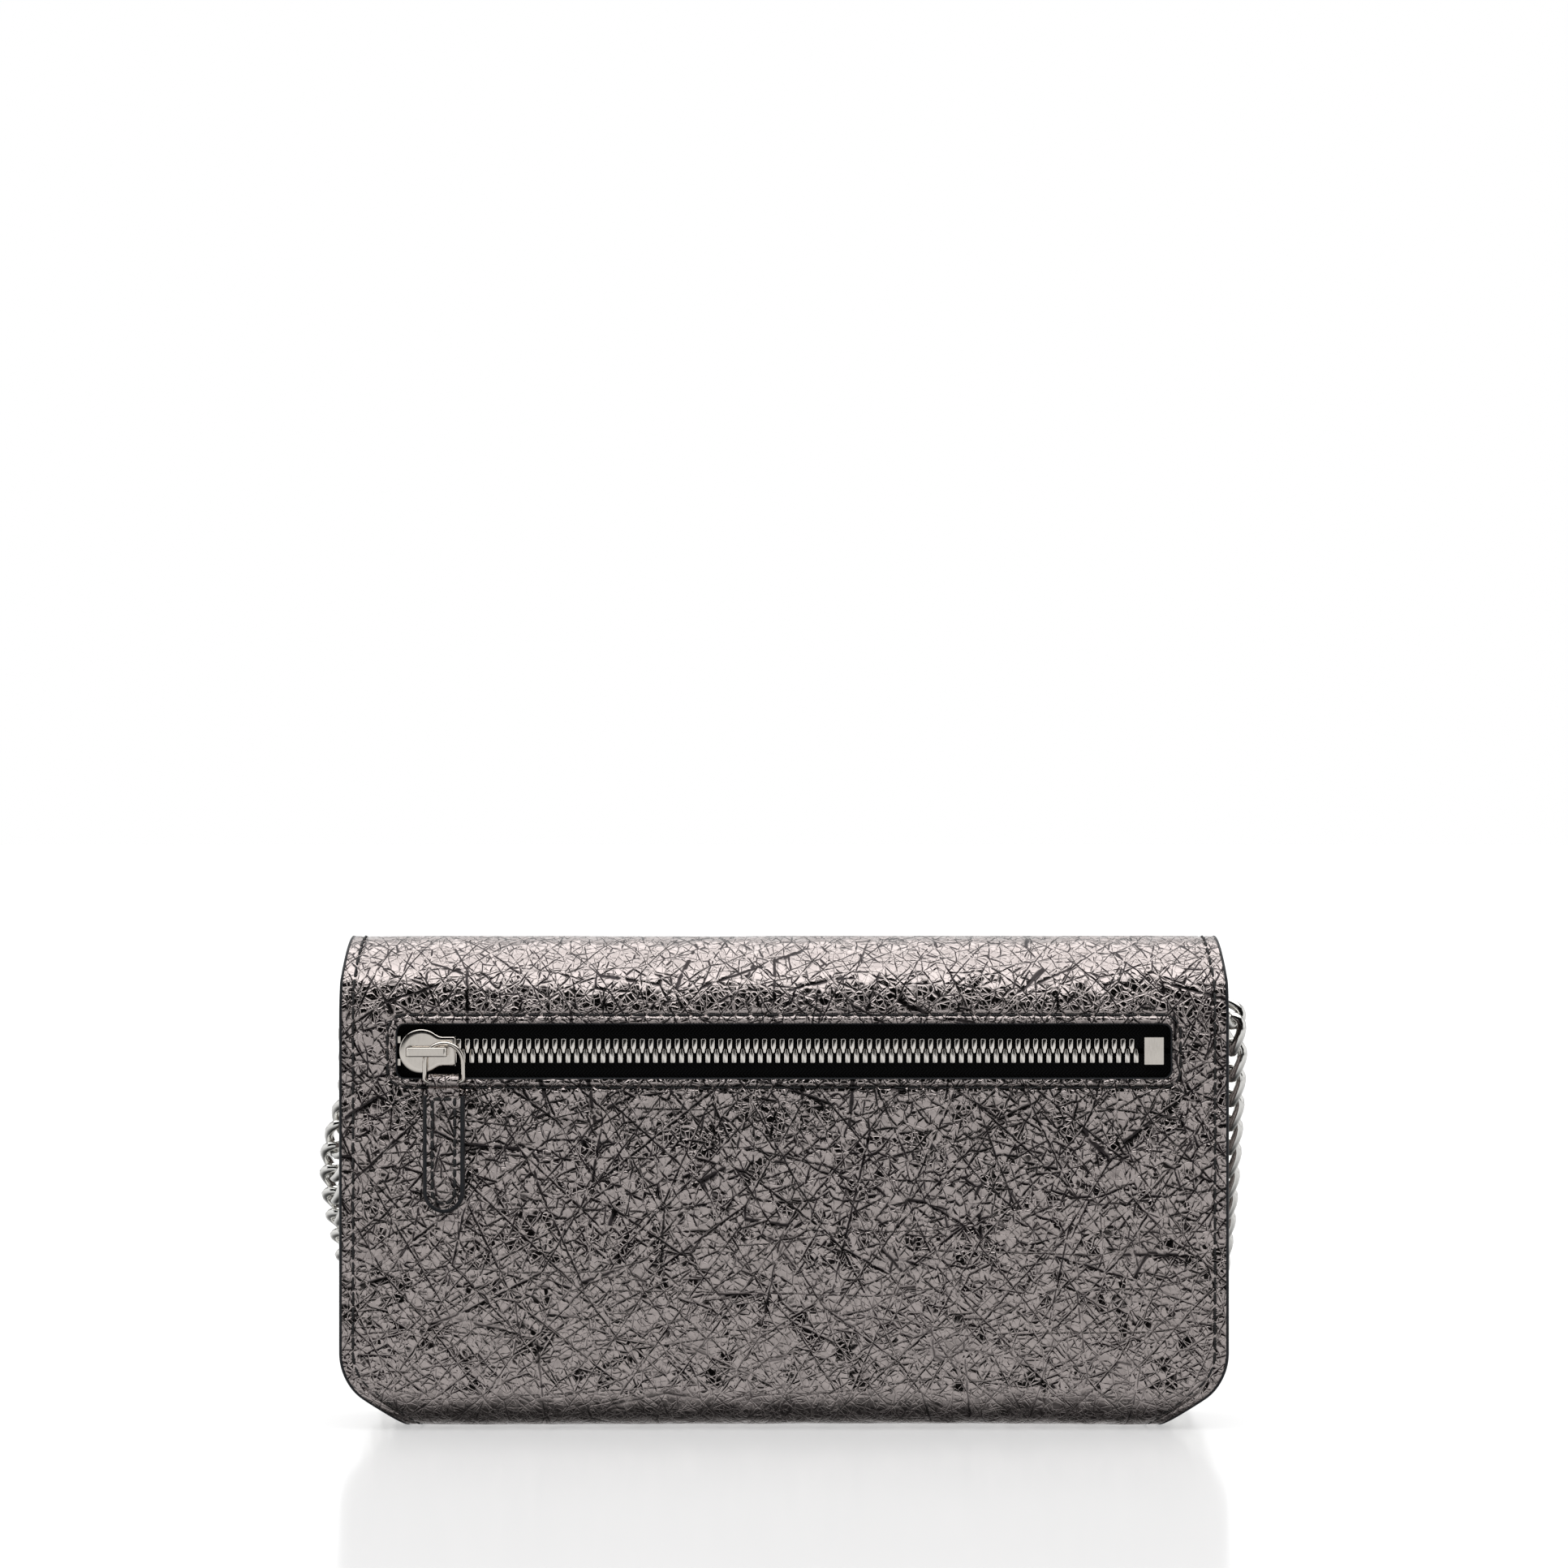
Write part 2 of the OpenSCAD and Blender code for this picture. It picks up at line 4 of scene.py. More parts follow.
import bmesh
import bpy
import numpy as np
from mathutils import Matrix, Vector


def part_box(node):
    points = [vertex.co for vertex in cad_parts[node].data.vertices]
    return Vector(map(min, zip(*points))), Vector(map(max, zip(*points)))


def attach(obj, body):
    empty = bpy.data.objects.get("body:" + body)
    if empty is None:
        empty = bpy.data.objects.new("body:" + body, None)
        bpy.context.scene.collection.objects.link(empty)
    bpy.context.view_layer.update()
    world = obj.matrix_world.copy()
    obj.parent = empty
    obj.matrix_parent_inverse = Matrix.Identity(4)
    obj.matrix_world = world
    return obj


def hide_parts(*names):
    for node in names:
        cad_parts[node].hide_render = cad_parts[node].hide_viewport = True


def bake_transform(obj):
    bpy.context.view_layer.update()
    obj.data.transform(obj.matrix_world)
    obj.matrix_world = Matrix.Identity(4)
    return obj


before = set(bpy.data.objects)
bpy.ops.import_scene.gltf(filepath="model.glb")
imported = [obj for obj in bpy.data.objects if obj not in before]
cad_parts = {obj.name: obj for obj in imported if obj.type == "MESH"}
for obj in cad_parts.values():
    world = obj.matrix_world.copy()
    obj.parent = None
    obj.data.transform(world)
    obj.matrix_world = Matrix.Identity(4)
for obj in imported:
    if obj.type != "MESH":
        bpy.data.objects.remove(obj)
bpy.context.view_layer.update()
MM = 0.001


def span(node):
    """A node's corners at rest, in millimetres."""
    lo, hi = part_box(node)
    return np.array(lo) / MM, np.array(hi) / MM


# ---- Sizes, in millimetres, worked out from the frame ----
back_lo, back_hi = span("back_panel")
flap_lo, flap_hi = span("flap_leather")
_, front_hi = span("front_panel")
_, frame_hi = span("window_reinforcement")
slider_lo, slider_hi = span("slider_body")
ring_lo, ring_hi = span("pull_ring")
leaf_lo, leaf_hi = span("tab_front")
hank_lo, hank_hi = span("chain_hank")

BODY_HALF = back_hi[0]
HEIGHT = back_hi[2]
BACK_Y = back_lo[1]
FLAP_Y = flap_hi[1]
ROLL_R = FLAP_Y
ROLL_Z = HEIGHT - ROLL_R
FLAP_LOW = flap_lo[2]
FLAP_HALF = 91.0
FLAP_TOP_HALF = flap_hi[0]
FLAP_CORNER = 18.0
FRONT_Y = front_hi[1]
FRONT_HALF = front_hi[0]
FRONT_H = front_hi[2]
BASE_R = 9.0
BASE_HALF = 81.0
CORNER_R = 12.5
CORNER_Z = 16.5
FRONT_CORNER_R = 11.0
FRONT_CORNER_Z = 15.0
LEATHER = 1.2
INNER_HALF = 87.5
SPLIT_Y = FRONT_Y - BASE_R
WINDOW_HALF = frame_hi[0] - 4.0
ZIP_Z = 81.0
WINDOW_H = 12.0
TAPE_Y = BACK_Y + 2.0
STITCH_INSET = 2.9
CREASE_DEPTH = 0.00008
S_ROLL_END = ROLL_Z - FLAP_LOW + math.pi * ROLL_R
S_BASE = S_ROLL_END + ROLL_Z - BASE_R


# ---- Camera ----
def make_camera():
    """A long lens, level, straight at the back face and a little above it."""
    distance, view_width, height = 0.85, 0.335, 0.1381
    data = bpy.data.cameras.new("camera")
    data.sensor_width = 36
    data.lens = data.sensor_width * distance / view_width
    data.clip_start, data.clip_end = 0.01, 20
    cam = bpy.data.objects.new("camera", data)
    cam.location = (0, BACK_Y * MM - distance, height)
    cam.rotation_euler = (math.pi / 2, 0, 0)
    bpy.context.collection.objects.link(cam)
    bpy.context.scene.camera = cam


make_camera()


# ---- Node helpers ----
class Nodes:
    """Short names for building a node tree."""

    def __init__(self, name, blocks=bpy.data.materials):
        self.material = blocks.new(name)
        self.material.use_nodes = True
        self.tree = self.material.node_tree
        self.bsdf = self.tree.nodes.get("Principled BSDF")

    def new(self, kind, **values):
        node = self.tree.nodes.new(kind)
        for key, value in values.items():
            setattr(node, key, value)
        return node

    def link(self, out, into):
        self.tree.links.new(out, into)

    def put(self, socket, value):
        if hasattr(value, "is_output"):
            self.link(value, socket)
        else:
            socket.default_value = value

    def place(self):
        return self.new("ShaderNodeTexCoord").outputs["Object"]

    def axes(self, where):
        node = self.new("ShaderNodeSeparateXYZ")
        self.link(where, node.inputs[0])
        return node.outputs

    def math(self, kind, a, b=0.0):
        node = self.new("ShaderNodeMath", operation=kind)
        self.put(node.inputs[0], a)
        self.put(node.inputs[1], b)
        return node.outputs[0]

    def ramp(self, value, low, high, to_low=0.0, to_high=1.0, smooth=True):
        node = self.new("ShaderNodeMapRange")
        node.interpolation_type = "SMOOTHSTEP" if smooth else "LINEAR"
        self.put(node.inputs["Value"], value)
        self.put(node.inputs["From Min"], low)
        self.put(node.inputs["From Max"], high)
        self.put(node.inputs["To Min"], to_low)
        self.put(node.inputs["To Max"], to_high)
        return node.outputs["Result"]

    def mix(self, share, a, b):
        node = self.new("ShaderNodeMix", data_type="RGBA")
        self.put(node.inputs["Factor"], share)
        for key, value in (("A", a), ("B", b)):
            socket = [s for s in node.inputs if s.name == key and s.type == "RGBA"][0]
            if hasattr(value, "is_output"):
                self.link(value, socket)
            else:
                socket.default_value = (*value, 1.0)
        return [s for s in node.outputs if s.type == "RGBA"][0]

    def noise(self, where, scale, detail=2.0, rough=0.5):
        node = self.new("ShaderNodeTexNoise")
        self.link(where, node.inputs["Vector"])
        node.inputs["Scale"].default_value = scale
        node.inputs["Detail"].default_value = detail
        node.inputs["Roughness"].default_value = rough
        return node

    def mapped(self, where, scale, turn=0.0, shift=(0, 0, 0), kind="POINT"):
        node = self.new("ShaderNodeMapping", vector_type=kind)
        self.link(where, node.inputs["Vector"])
        node.inputs["Scale"].default_value = scale
        node.inputs["Rotation"].default_value = (0, 0, turn)
        node.inputs["Location"].default_value = shift
        return node.outputs["Vector"]

    def cells(self, where, scale=1.0, **values):
        node = self.new("ShaderNodeTexVoronoi", **values)
        self.link(where, node.inputs["Vector"])
        node.inputs["Scale"].default_value = scale
        return node.outputs

    def combine(self, kind, a, b):
        node = self.new("ShaderNodeVectorMath", operation=kind)
        self.put(node.inputs[0], a)
        self.put(node.inputs[1], b)
        return node.outputs

    def bump(self, height, distance, strength=1.0):
        node = self.new("ShaderNodeBump")
        node.inputs["Distance"].default_value = distance
        node.inputs["Strength"].default_value = strength
        self.link(height, node.inputs["Height"])
        self.link(node.outputs["Normal"], self.bsdf.inputs["Normal"])

    def set(self, **values):
        for key, value in values.items():
            name = {"color": "Base Color", "rough": "Roughness", "metal": "Metallic",
                    "shine": "Specular IOR Level", "sheen": "Sheen Weight",
                    "glow": "Emission Color", "glow_strength": "Emission Strength"}[key]
            socket = self.bsdf.inputs[name]
            if isinstance(value, tuple):
                value = (*value, 1.0)
            self.put(socket, value)


# ---- Materials ----
def crease_layer(n, where, cell, width, stretch, turn, seed, mask, keep, thin=0.07):
    """Fine straight creases: the borders of long random cells. They stop where the mask is low."""
    moved = n.mapped(where, (cell, cell / stretch, 1), turn, (seed * 7.3, seed * 3.9, 0), "TEXTURE")
    distance = n.cells(moved, voronoi_dimensions="2D", feature="DISTANCE_TO_EDGE")["Distance"]
    swell = n.ramp(mask, keep - 0.06, keep + 0.13, thin / cell, width / cell, smooth=False)
    line = n.ramp(distance, 0.0, swell, 1.0, 0.0, smooth=False)
    return n.math("MULTIPLY", line, n.ramp(mask, keep - 0.06, keep + 0.05, 0.5, 1.0))


def facets(n, where, cell, stretch, turn):
    """Small flat facets, each with a tilt of its own."""
    moved = n.mapped(where, (cell, cell / stretch, 1), turn, kind="TEXTURE")
    cells = n.cells(moved, voronoi_dimensions="2D", feature="F1")
    local = n.combine("SUBTRACT", moved, cells["Position"])[0]
    tilt = n.combine("SUBTRACT", cells["Color"], (0.5, 0.5, 0.5))[0]
    return n.combine("DOT_PRODUCT", local, tilt)["Value"]


def leather_material(name, calm=0.0, sheet=True):
    """Crinkled foil leather: flat plateaus and a web of sharp creases. Along the creases the base colour
    goes near black: partly dark leather showing through foil cracks, partly painted shade standing in for
    the dark reflections in the crease slopes.
    """
    n = Nodes(name)
    if sheet:
        uv = n.new("ShaderNodeUVMap", uv_map="Sheet").outputs["UV"]
    else:
        place = n.axes(n.place())
        flat = n.new("ShaderNodeCombineXYZ")
        n.link(n.math("MULTIPLY", place["X"], 1 / MM), flat.inputs["X"])
        n.link(n.math("MULTIPLY", n.math("ADD", place["Z"], place["Y"]), 1 / MM), flat.inputs["Y"])
        uv = flat.outputs[0]
    wobble = n.noise(uv, 0.45, 1.0)
    warped = n.new("ShaderNodeVectorMath", operation="MULTIPLY_ADD")
    n.link(wobble.outputs["Color"], warped.inputs[0])
    warped.inputs[1].default_value = (0.45, 0.45, 0)
    n.link(uv, warped.inputs[2])
    bent = warped.outputs[0]
    dashes = n.new("ShaderNodeSeparateColor")
    n.link(n.noise(uv, 0.5, 1.0).outputs["Color"], dashes.inputs[0])
    red, green, blue = (dashes.outputs[k] for k in range(3))
    lines = [
        (crease_layer(n, bent, 10.0, 0.30, 0.22, 0.62, 1.3, red, 0.42, 0.15), 1.0),
        (crease_layer(n, bent, 9.0, 0.30, 0.22, -0.66, 2.9, green, 0.43, 0.15), 1.0),
        (crease_layer(n, bent, 9.0, 0.24, 0.25, 1.45, 4.1, blue, 0.45, 0.12), 0.75),
        (crease_layer(n, bent, 3.6, 0.32, 0.42, 0.95, 5.2, green, 0.46), 0.9),
        (crease_layer(n, bent, 3.0, 0.30, 0.42, -0.50, 6.4, red, 0.47), 0.9),
        (crease_layer(n, bent, 2.2, 0.24, 0.50, 0.20, 7.6, blue, 0.48), 0.75),
        (crease_layer(n, bent, 1.4, 0.17, 0.60, -1.10, 8.3, green, 0.50, 0.04), 0.6),
    ]
    total = None
    for line, weight in lines:
        part = n.math("MULTIPLY", line, weight)
        total = part if total is None else n.math("MAXIMUM", total, part)
    if sheet:
        # Creases fade towards the base, in their relief and in their painted shade.
        along = n.axes(uv)["Y"]
        total = n.math("MULTIPLY", total, n.ramp(along, S_ROLL_END + 25, S_BASE - 4, 1.1, 0.7))
    height = n.math("MULTIPLY", n.noise(uv, 0.28, 1.0).outputs["Fac"], 3.4)
    height = n.math("ADD", height, n.math("MULTIPLY", n.noise(uv, 0.07, 1.0).outputs["Fac"], 14.0))
    height = n.math("ADD", height, n.math("MULTIPLY", facets(n, bent, 3.8, 0.6, 0.5), 7.5))
    height = n.math("ADD", height, n.math("MULTIPLY", facets(n, bent, 1.7, 0.6, -0.8), 3.4))
    height = n.math("SUBTRACT", height, n.math("MULTIPLY", total, 1.5))
    n.bump(height, CREASE_DEPTH * (1 - 0.5 * calm))
    # Painted shade: the base colour darkens to near black along the strongest creases. Partly this is the
    # dark leather in foil cracks, partly it stands in for the dark reflections in the crease slopes.
    crack_and_crease_shade = n.ramp(total, 0.38, 0.8, 0.0, 0.93)
    n.set(color=n.mix(crack_and_crease_shade, (0.475, 0.422, 0.408), (0.01, 0.008, 0.01)), metal=1.0)
    n.set(rough=n.ramp(total, 0.0, 1.0, 0.1 + 0.12 * calm, 0.25, smooth=False))
    return n.material


def plain_leather(name, color):
    """Smooth leather with a fine pore grain."""
    n = Nodes(name)
    where = n.place()
    grain = n.ramp(n.cells(where, 900.0, feature="DISTANCE_TO_EDGE")["Distance"], 0.0, 0.3)
    tone = n.noise(where, 60.0, 3.0).outputs["Fac"]
    n.set(color=n.mix(tone, tuple(c * 0.8 for c in color), tuple(c * 1.25 for c in color)))
    n.set(rough=n.ramp(grain, 0.0, 1.0, 0.57, 0.42))
    n.bump(grain, 0.00006, 0.7)
    return n.material


def edge_paint_material():
    """Painted leather edge: dark slate with a soft gloss and faint ripples."""
    n = Nodes("edge_paint")
    ripple = n.noise(n.place(), 500.0, 2.0).outputs["Fac"]
    n.set(color=n.mix(ripple, (0.006, 0.007, 0.009), (0.016, 0.018, 0.022)))
    n.set(rough=n.ramp(ripple, 0.3, 0.7, 0.3, 0.42), shine=0.3)
    n.bump(ripple, 0.00008, 0.6)
    return n.material


def fabric_material(name, color, scale=1800.0):
    """Tightly woven cloth: threads over and under in a checker of small humps."""
    n = Nodes(name)
    where = n.place()
    axes = n.axes(n.mapped(where, (scale, scale, scale)))
    lateral = n.math("SINE", n.math("ADD", axes["X"], axes["Y"]))
    upright = n.math("SINE", n.math("ADD", axes["Z"], axes["Y"]))
    weave = n.math("MULTIPLY", lateral, upright)
    slub = n.noise(where, 400.0, 3.0).outputs["Fac"]
    n.set(color=n.mix(slub, tuple(c * 0.6 for c in color), tuple(c * 1.5 for c in color)))
    n.set(rough=0.85, sheen=0.25)
    n.bump(weave, 0.00008, 0.8)
    return n.material


def tape_material():
    """Black zip tape in a herringbone weave: the twill turns over every few threads."""
    n = Nodes("zip_tape")
    axes = n.axes(n.place())
    slant = n.math("ADD", axes["X"], n.math("PINGPONG", axes["Z"], 0.0011))
    twill = n.math("SINE", n.math("MULTIPLY", slant, 2 * math.pi / 0.00075))
    thread = n.math("SINE", n.math("MULTIPLY", axes["Z"], 2 * math.pi / 0.0004))
    weave = n.math("ADD", twill, n.math("MULTIPLY", thread, 0.3))
    n.set(color=n.mix(n.ramp(weave, -1.0, 1.0), (0.0006, 0.0006, 0.0008), (0.005, 0.005, 0.0055)))
    n.set(rough=0.7, shine=0.08)
    n.bump(weave, 0.00007, 0.8)
    return n.material


def metal_material(name, color, rough):
    """Polished plating with faint polishing marks and slightly duller patches."""
    n = Nodes(name)
    where = n.place()
    marks = n.noise(n.mapped(where, (1.0, 1.0, 0.15)), 4200.0, 2.0).outputs["Fac"]
    patches = n.noise(where, 280.0, 2.0).outputs["Fac"]
    n.set(color=n.mix(patches, tuple(c * 0.94 for c in color), color), metal=1.0)
    n.set(rough=n.ramp(n.math("MULTIPLY", marks, patches), 0.1, 0.45, rough, rough + 0.06))
    n.bump(marks, 0.000006, 0.5)
    return n.material


def thread_material():
    """Waxed black thread with the slant of its twist."""
    n = Nodes("thread")
    axes = n.axes(n.place())
    slant = n.math("ADD", axes["X"], n.math("ADD", axes["Z"], axes["Y"]))
    ply = n.math("SINE", n.math("MULTIPLY", slant, 2 * math.pi / 0.0005))
    n.set(color=n.mix(n.ramp(ply, -1.0, 1.0), (0.004, 0.004, 0.005), (0.018, 0.018, 0.02)), rough=0.5)
    n.bump(ply, 0.00005, 0.8)
    return n.material


def board_material():
    """Pressed fibre board."""
    n = Nodes("fibre_board")
    fibres = n.noise(n.mapped(n.place(), (300, 300, 60)), 3.0, 4.0).outputs["Fac"]
    n.set(color=n.mix(fibres, (0.2, 0.15, 0.1), (0.35, 0.28, 0.2)), rough=0.9)
    n.bump(fibres, 0.00005, 0.6)
    return n.material


MAT = {
    "leather": leather_material("pewter_leather"),
    "gusset": leather_material("pewter_gusset", calm=0.6),
    "small_leather": leather_material("pewter_small", calm=0.3, sheet=False),
    "edge": edge_paint_material(),
    "pocket": plain_leather("pocket_leather", (0.03, 0.029, 0.03)),
    "lining": fabric_material("lining", (0.022, 0.021, 0.022)),
    "board": board_material(),
    "tape": tape_material(),
    "teeth": metal_material("zip_metal", (1.0, 0.955, 0.9), 0.16),
    "nickel": metal_material("nickel", (0.80, 0.75, 0.69), 0.12),
    "chain": metal_material("chain_metal", (0.9, 0.89, 0.86), 0.1),
    "thread": thread_material(),
}


# ---- Mesh helpers ----
def add_object(name, mesh, material, body=None):
    obj = bpy.data.objects.new(name, mesh)
    bpy.context.collection.objects.link(obj)
    if material:
        mesh.materials.append(material)
    if body:
        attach(obj, body)
    return obj


def mesh_from(name, points, faces, smooth=True, sharp=None):
    """A mesh from points in millimetres."""
    mesh = bpy.data.meshes.new(name)
    faces = [tuple(int(i) for i in face) for face in faces]
    mesh.from_pydata((np.asarray(points, float) * MM).tolist(), [], faces)
    mesh.validate()
    mesh.polygons.foreach_set("use_smooth", [smooth] * len(mesh.polygons))
    if sharp is not None:
        mesh.set_sharp_from_angle(angle=math.radians(sharp))
    return mesh


def faced_out(mesh):
    bm = bmesh.new()
    bm.from_mesh(mesh)
    bmesh.ops.recalc_face_normals(bm, faces=bm.faces)
    bm.to_mesh(mesh)
    bm.free()
    return mesh


def add_solid(name, shape, material, body, sharp=None):
    """A closed piece from its points and faces."""
    mesh = faced_out(mesh_from(name, *shape, sharp=sharp))
    return add_object(name, mesh, MAT[material], body)


def unit(v):
    v = np.asarray(v, float)
    return v / np.maximum(np.linalg.norm(v, axis=-1, keepdims=True), 1e-12)


def resample(points, step):
    """Points a fixed distance apart along a polyline."""
    points = np.asarray(points, float)
    along = np.concatenate([[0], np.cumsum(np.linalg.norm(np.diff(points, axis=0), axis=1))])
    count = max(int(round(along[-1] / step)), 1)
    at = np.linspace(0, along[-1], count + 1)
    return np.stack([np.interp(at, along, points[:, k]) for k in range(points.shape[1])], 1)


def smooth_path(points, steps=8):
    """A Catmull-Rom curve through the points."""
    p = np.asarray(points, float)
    p = np.vstack([2 * p[0] - p[1], p, 2 * p[-1] - p[-2]])
    out = []
    for i in range(1, len(p) - 2):
        for t in np.arange(steps) / steps:
            out.append(0.5 * (2 * p[i] + (p[i + 1] - p[i - 1]) * t
                              + (2 * p[i - 1] - 5 * p[i] + 4 * p[i + 1] - p[i + 2]) * t ** 2
                              + (3 * p[i] - p[i - 1] - 3 * p[i + 1] + p[i + 2]) * t ** 3))
    out.append(p[-2])
    return np.array(out)


def path_length(points):
    return float(np.linalg.norm(np.diff(points, axis=0), axis=1).sum())


def tube(path, radii, up, sides=8, closed=False):
    """Points and faces of a tube with an oval section: radii across and along up."""
    path = np.asarray(path, float)
    n = len(path)
    if closed:
        run = unit(np.roll(path, -1, 0) - np.roll(path, 1, 0))
    else:
        run = unit(np.gradient(path, axis=0))
    up = np.broadcast_to(np.asarray(up, float), path.shape)
    side = unit(np.cross(run, up))
    lift = unit(np.cross(side, run))
    a = np.arange(sides) * 2 * math.pi / sides
    ring = side[:, None] * np.cos(a)[None, :, None] * radii[0]
    ring = ring + lift[:, None] * np.sin(a)[None, :, None] * radii[1]
    points = (path[:, None] + ring).reshape(-1, 3)
    faces = []
    for i in range(n if closed else n - 1):
        j = (i + 1) % n
        for k in range(sides):
            m = (k + 1) % sides
            faces.append((i * sides + k, i * sides + m, j * sides + m, j * sides + k))
    if not closed:
        faces.append(tuple(range(sides - 1, -1, -1)))
        faces.append(tuple((n - 1) * sides + k for k in range(sides)))
    return points, faces


def joined(parts):
    """One point list and one face list from several."""
    points, faces, start = [], [], 0
    for p, f in parts:
        points.append(np.asarray(p, float))
        faces += [tuple(i + start for i in face) for face in f]
        start += len(p)
    return np.vstack(points), faces


def prism(outline, y0, y1):
    """A flat outline in X and Z, from y0 to y1."""
    outline = np.asarray(outline, float)
    n = len(outline)
    front = np.stack([outline[:, 0], np.full(n, y0), outline[:, 1]], 1)
    back = front.copy()
    back[:, 1] = y1
    faces = [tuple(range(n)), tuple(range(2 * n - 1, n - 1, -1))]
    faces += [(i, i + n, (i + 1) % n + n, (i + 1) % n) for i in range(n)]
    return np.vstack([front, back]), faces


def round_rect(x0, x1, z0, z1, r, steps=6):
    out = []
    left, right, low, top = x0 + r, x1 - r, z0 + r, z1 - r
    for cx, cz, a0 in ((right, top, 0), (left, top, 90), (left, low, 180), (right, low, 270)):
        for k in range(steps + 1):
            a = math.radians(a0 + 90 * k / steps)
            out.append((cx + r * math.cos(a), cz + r * math.sin(a)))
    return out


def bevelled(obj, width, angle=35):
    """Rounds an object's edges as it is shown."""
    mod = obj.modifiers.new("edges", "BEVEL")
    mod.width, mod.segments, mod.limit_method = width * MM, 3, "ANGLE"
    mod.angle_limit = math.radians(angle)
    mod.harden_normals = False
    return obj


def shown(node, material, width=0.0):
    """A CAD node that is shown as it is, with its material and softened edges."""
    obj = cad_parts[node]
    obj.data.materials.clear()
    obj.data.materials.append(material)
    obj.data.polygons.foreach_set("use_smooth", [True] * len(obj.data.polygons))
    obj.data.set_sharp_from_angle(angle=math.radians(35))
    if width:
        bevelled(obj, width)
    return obj


# ---- Thick leather sheets, laid out flat and then folded ----
class Fold:
    """Side view of a folded sheet, from lines and arcs: the place and the outward direction at a length."""

    def __init__(self, *runs):
        self.s, self.yz, self.out = [], [], []
        total = 0.0
        for run in runs:
            if run[0] == "line":
                (y0, z0), (y1, z1) = run[1], run[2]
                length = math.hypot(y1 - y0, z1 - z0)
                out = ((z1 - z0) / length, -(y1 - y0) / length)
                for t in np.linspace(0, 1, max(int(length * 4), 2)):
                    place = (y0 + (y1 - y0) * t, z0 + (z1 - z0) * t)
                    self._add(total + t * length, place, out)
            else:
                (cy, cz), r, a0, a1 = run[1:]
                length = r * math.radians(abs(a1 - a0))
                for t in np.linspace(0, 1, max(int(length * 6), 2)):
                    a = math.radians(a0 + (a1 - a0) * t)
                    out = (math.cos(a), math.sin(a))
                    self._add(total + t * length, (cy + r * out[0], cz + r * out[1]), out)
            total += length
        self.length = total
        self.s, self.yz, self.out = np.array(self.s), np.array(self.yz), np.array(self.out)

    def _add(self, s, yz, out):
        self.s.append(s)
        self.yz.append(yz)
        self.out.append(out)

    def at(self, s):
        y, z = (np.interp(s, self.s, self.yz[:, k]) for k in (0, 1))
        oy, oz = (np.interp(s, self.s, self.out[:, k]) for k in (0, 1))
        norm = np.hypot(oy, oz)
        return y, z, oy / norm, oz / norm


def lumps(x, s, seed, size, reach):
    """Smooth random swells over the sheet."""
    rng = np.random.default_rng(seed)
    total = np.zeros_like(x)
    for _ in range(10):
        turn = rng.uniform(0, 2 * math.pi)
        wave = 2 * math.pi / (size * rng.uniform(0.6, 1.8))
        total += np.sin((x * math.cos(turn) + s * math.sin(turn)) * wave + rng.uniform(0, 6.3))
    return total / 10 ** 0.5 * reach


def rect_distance(x, s, half, s0, s1, r):
    """Distance from a round-cornered window on the flat sheet; less than nothing inside it."""
    qx = np.abs(x) - half + r
    qs = np.abs(s - (s0 + s1) / 2) - (s1 - s0) / 2 + r
    outside = np.hypot(np.maximum(qx, 0), np.maximum(qs, 0))
    return outside + np.minimum(np.maximum(qx, qs), 0) - r


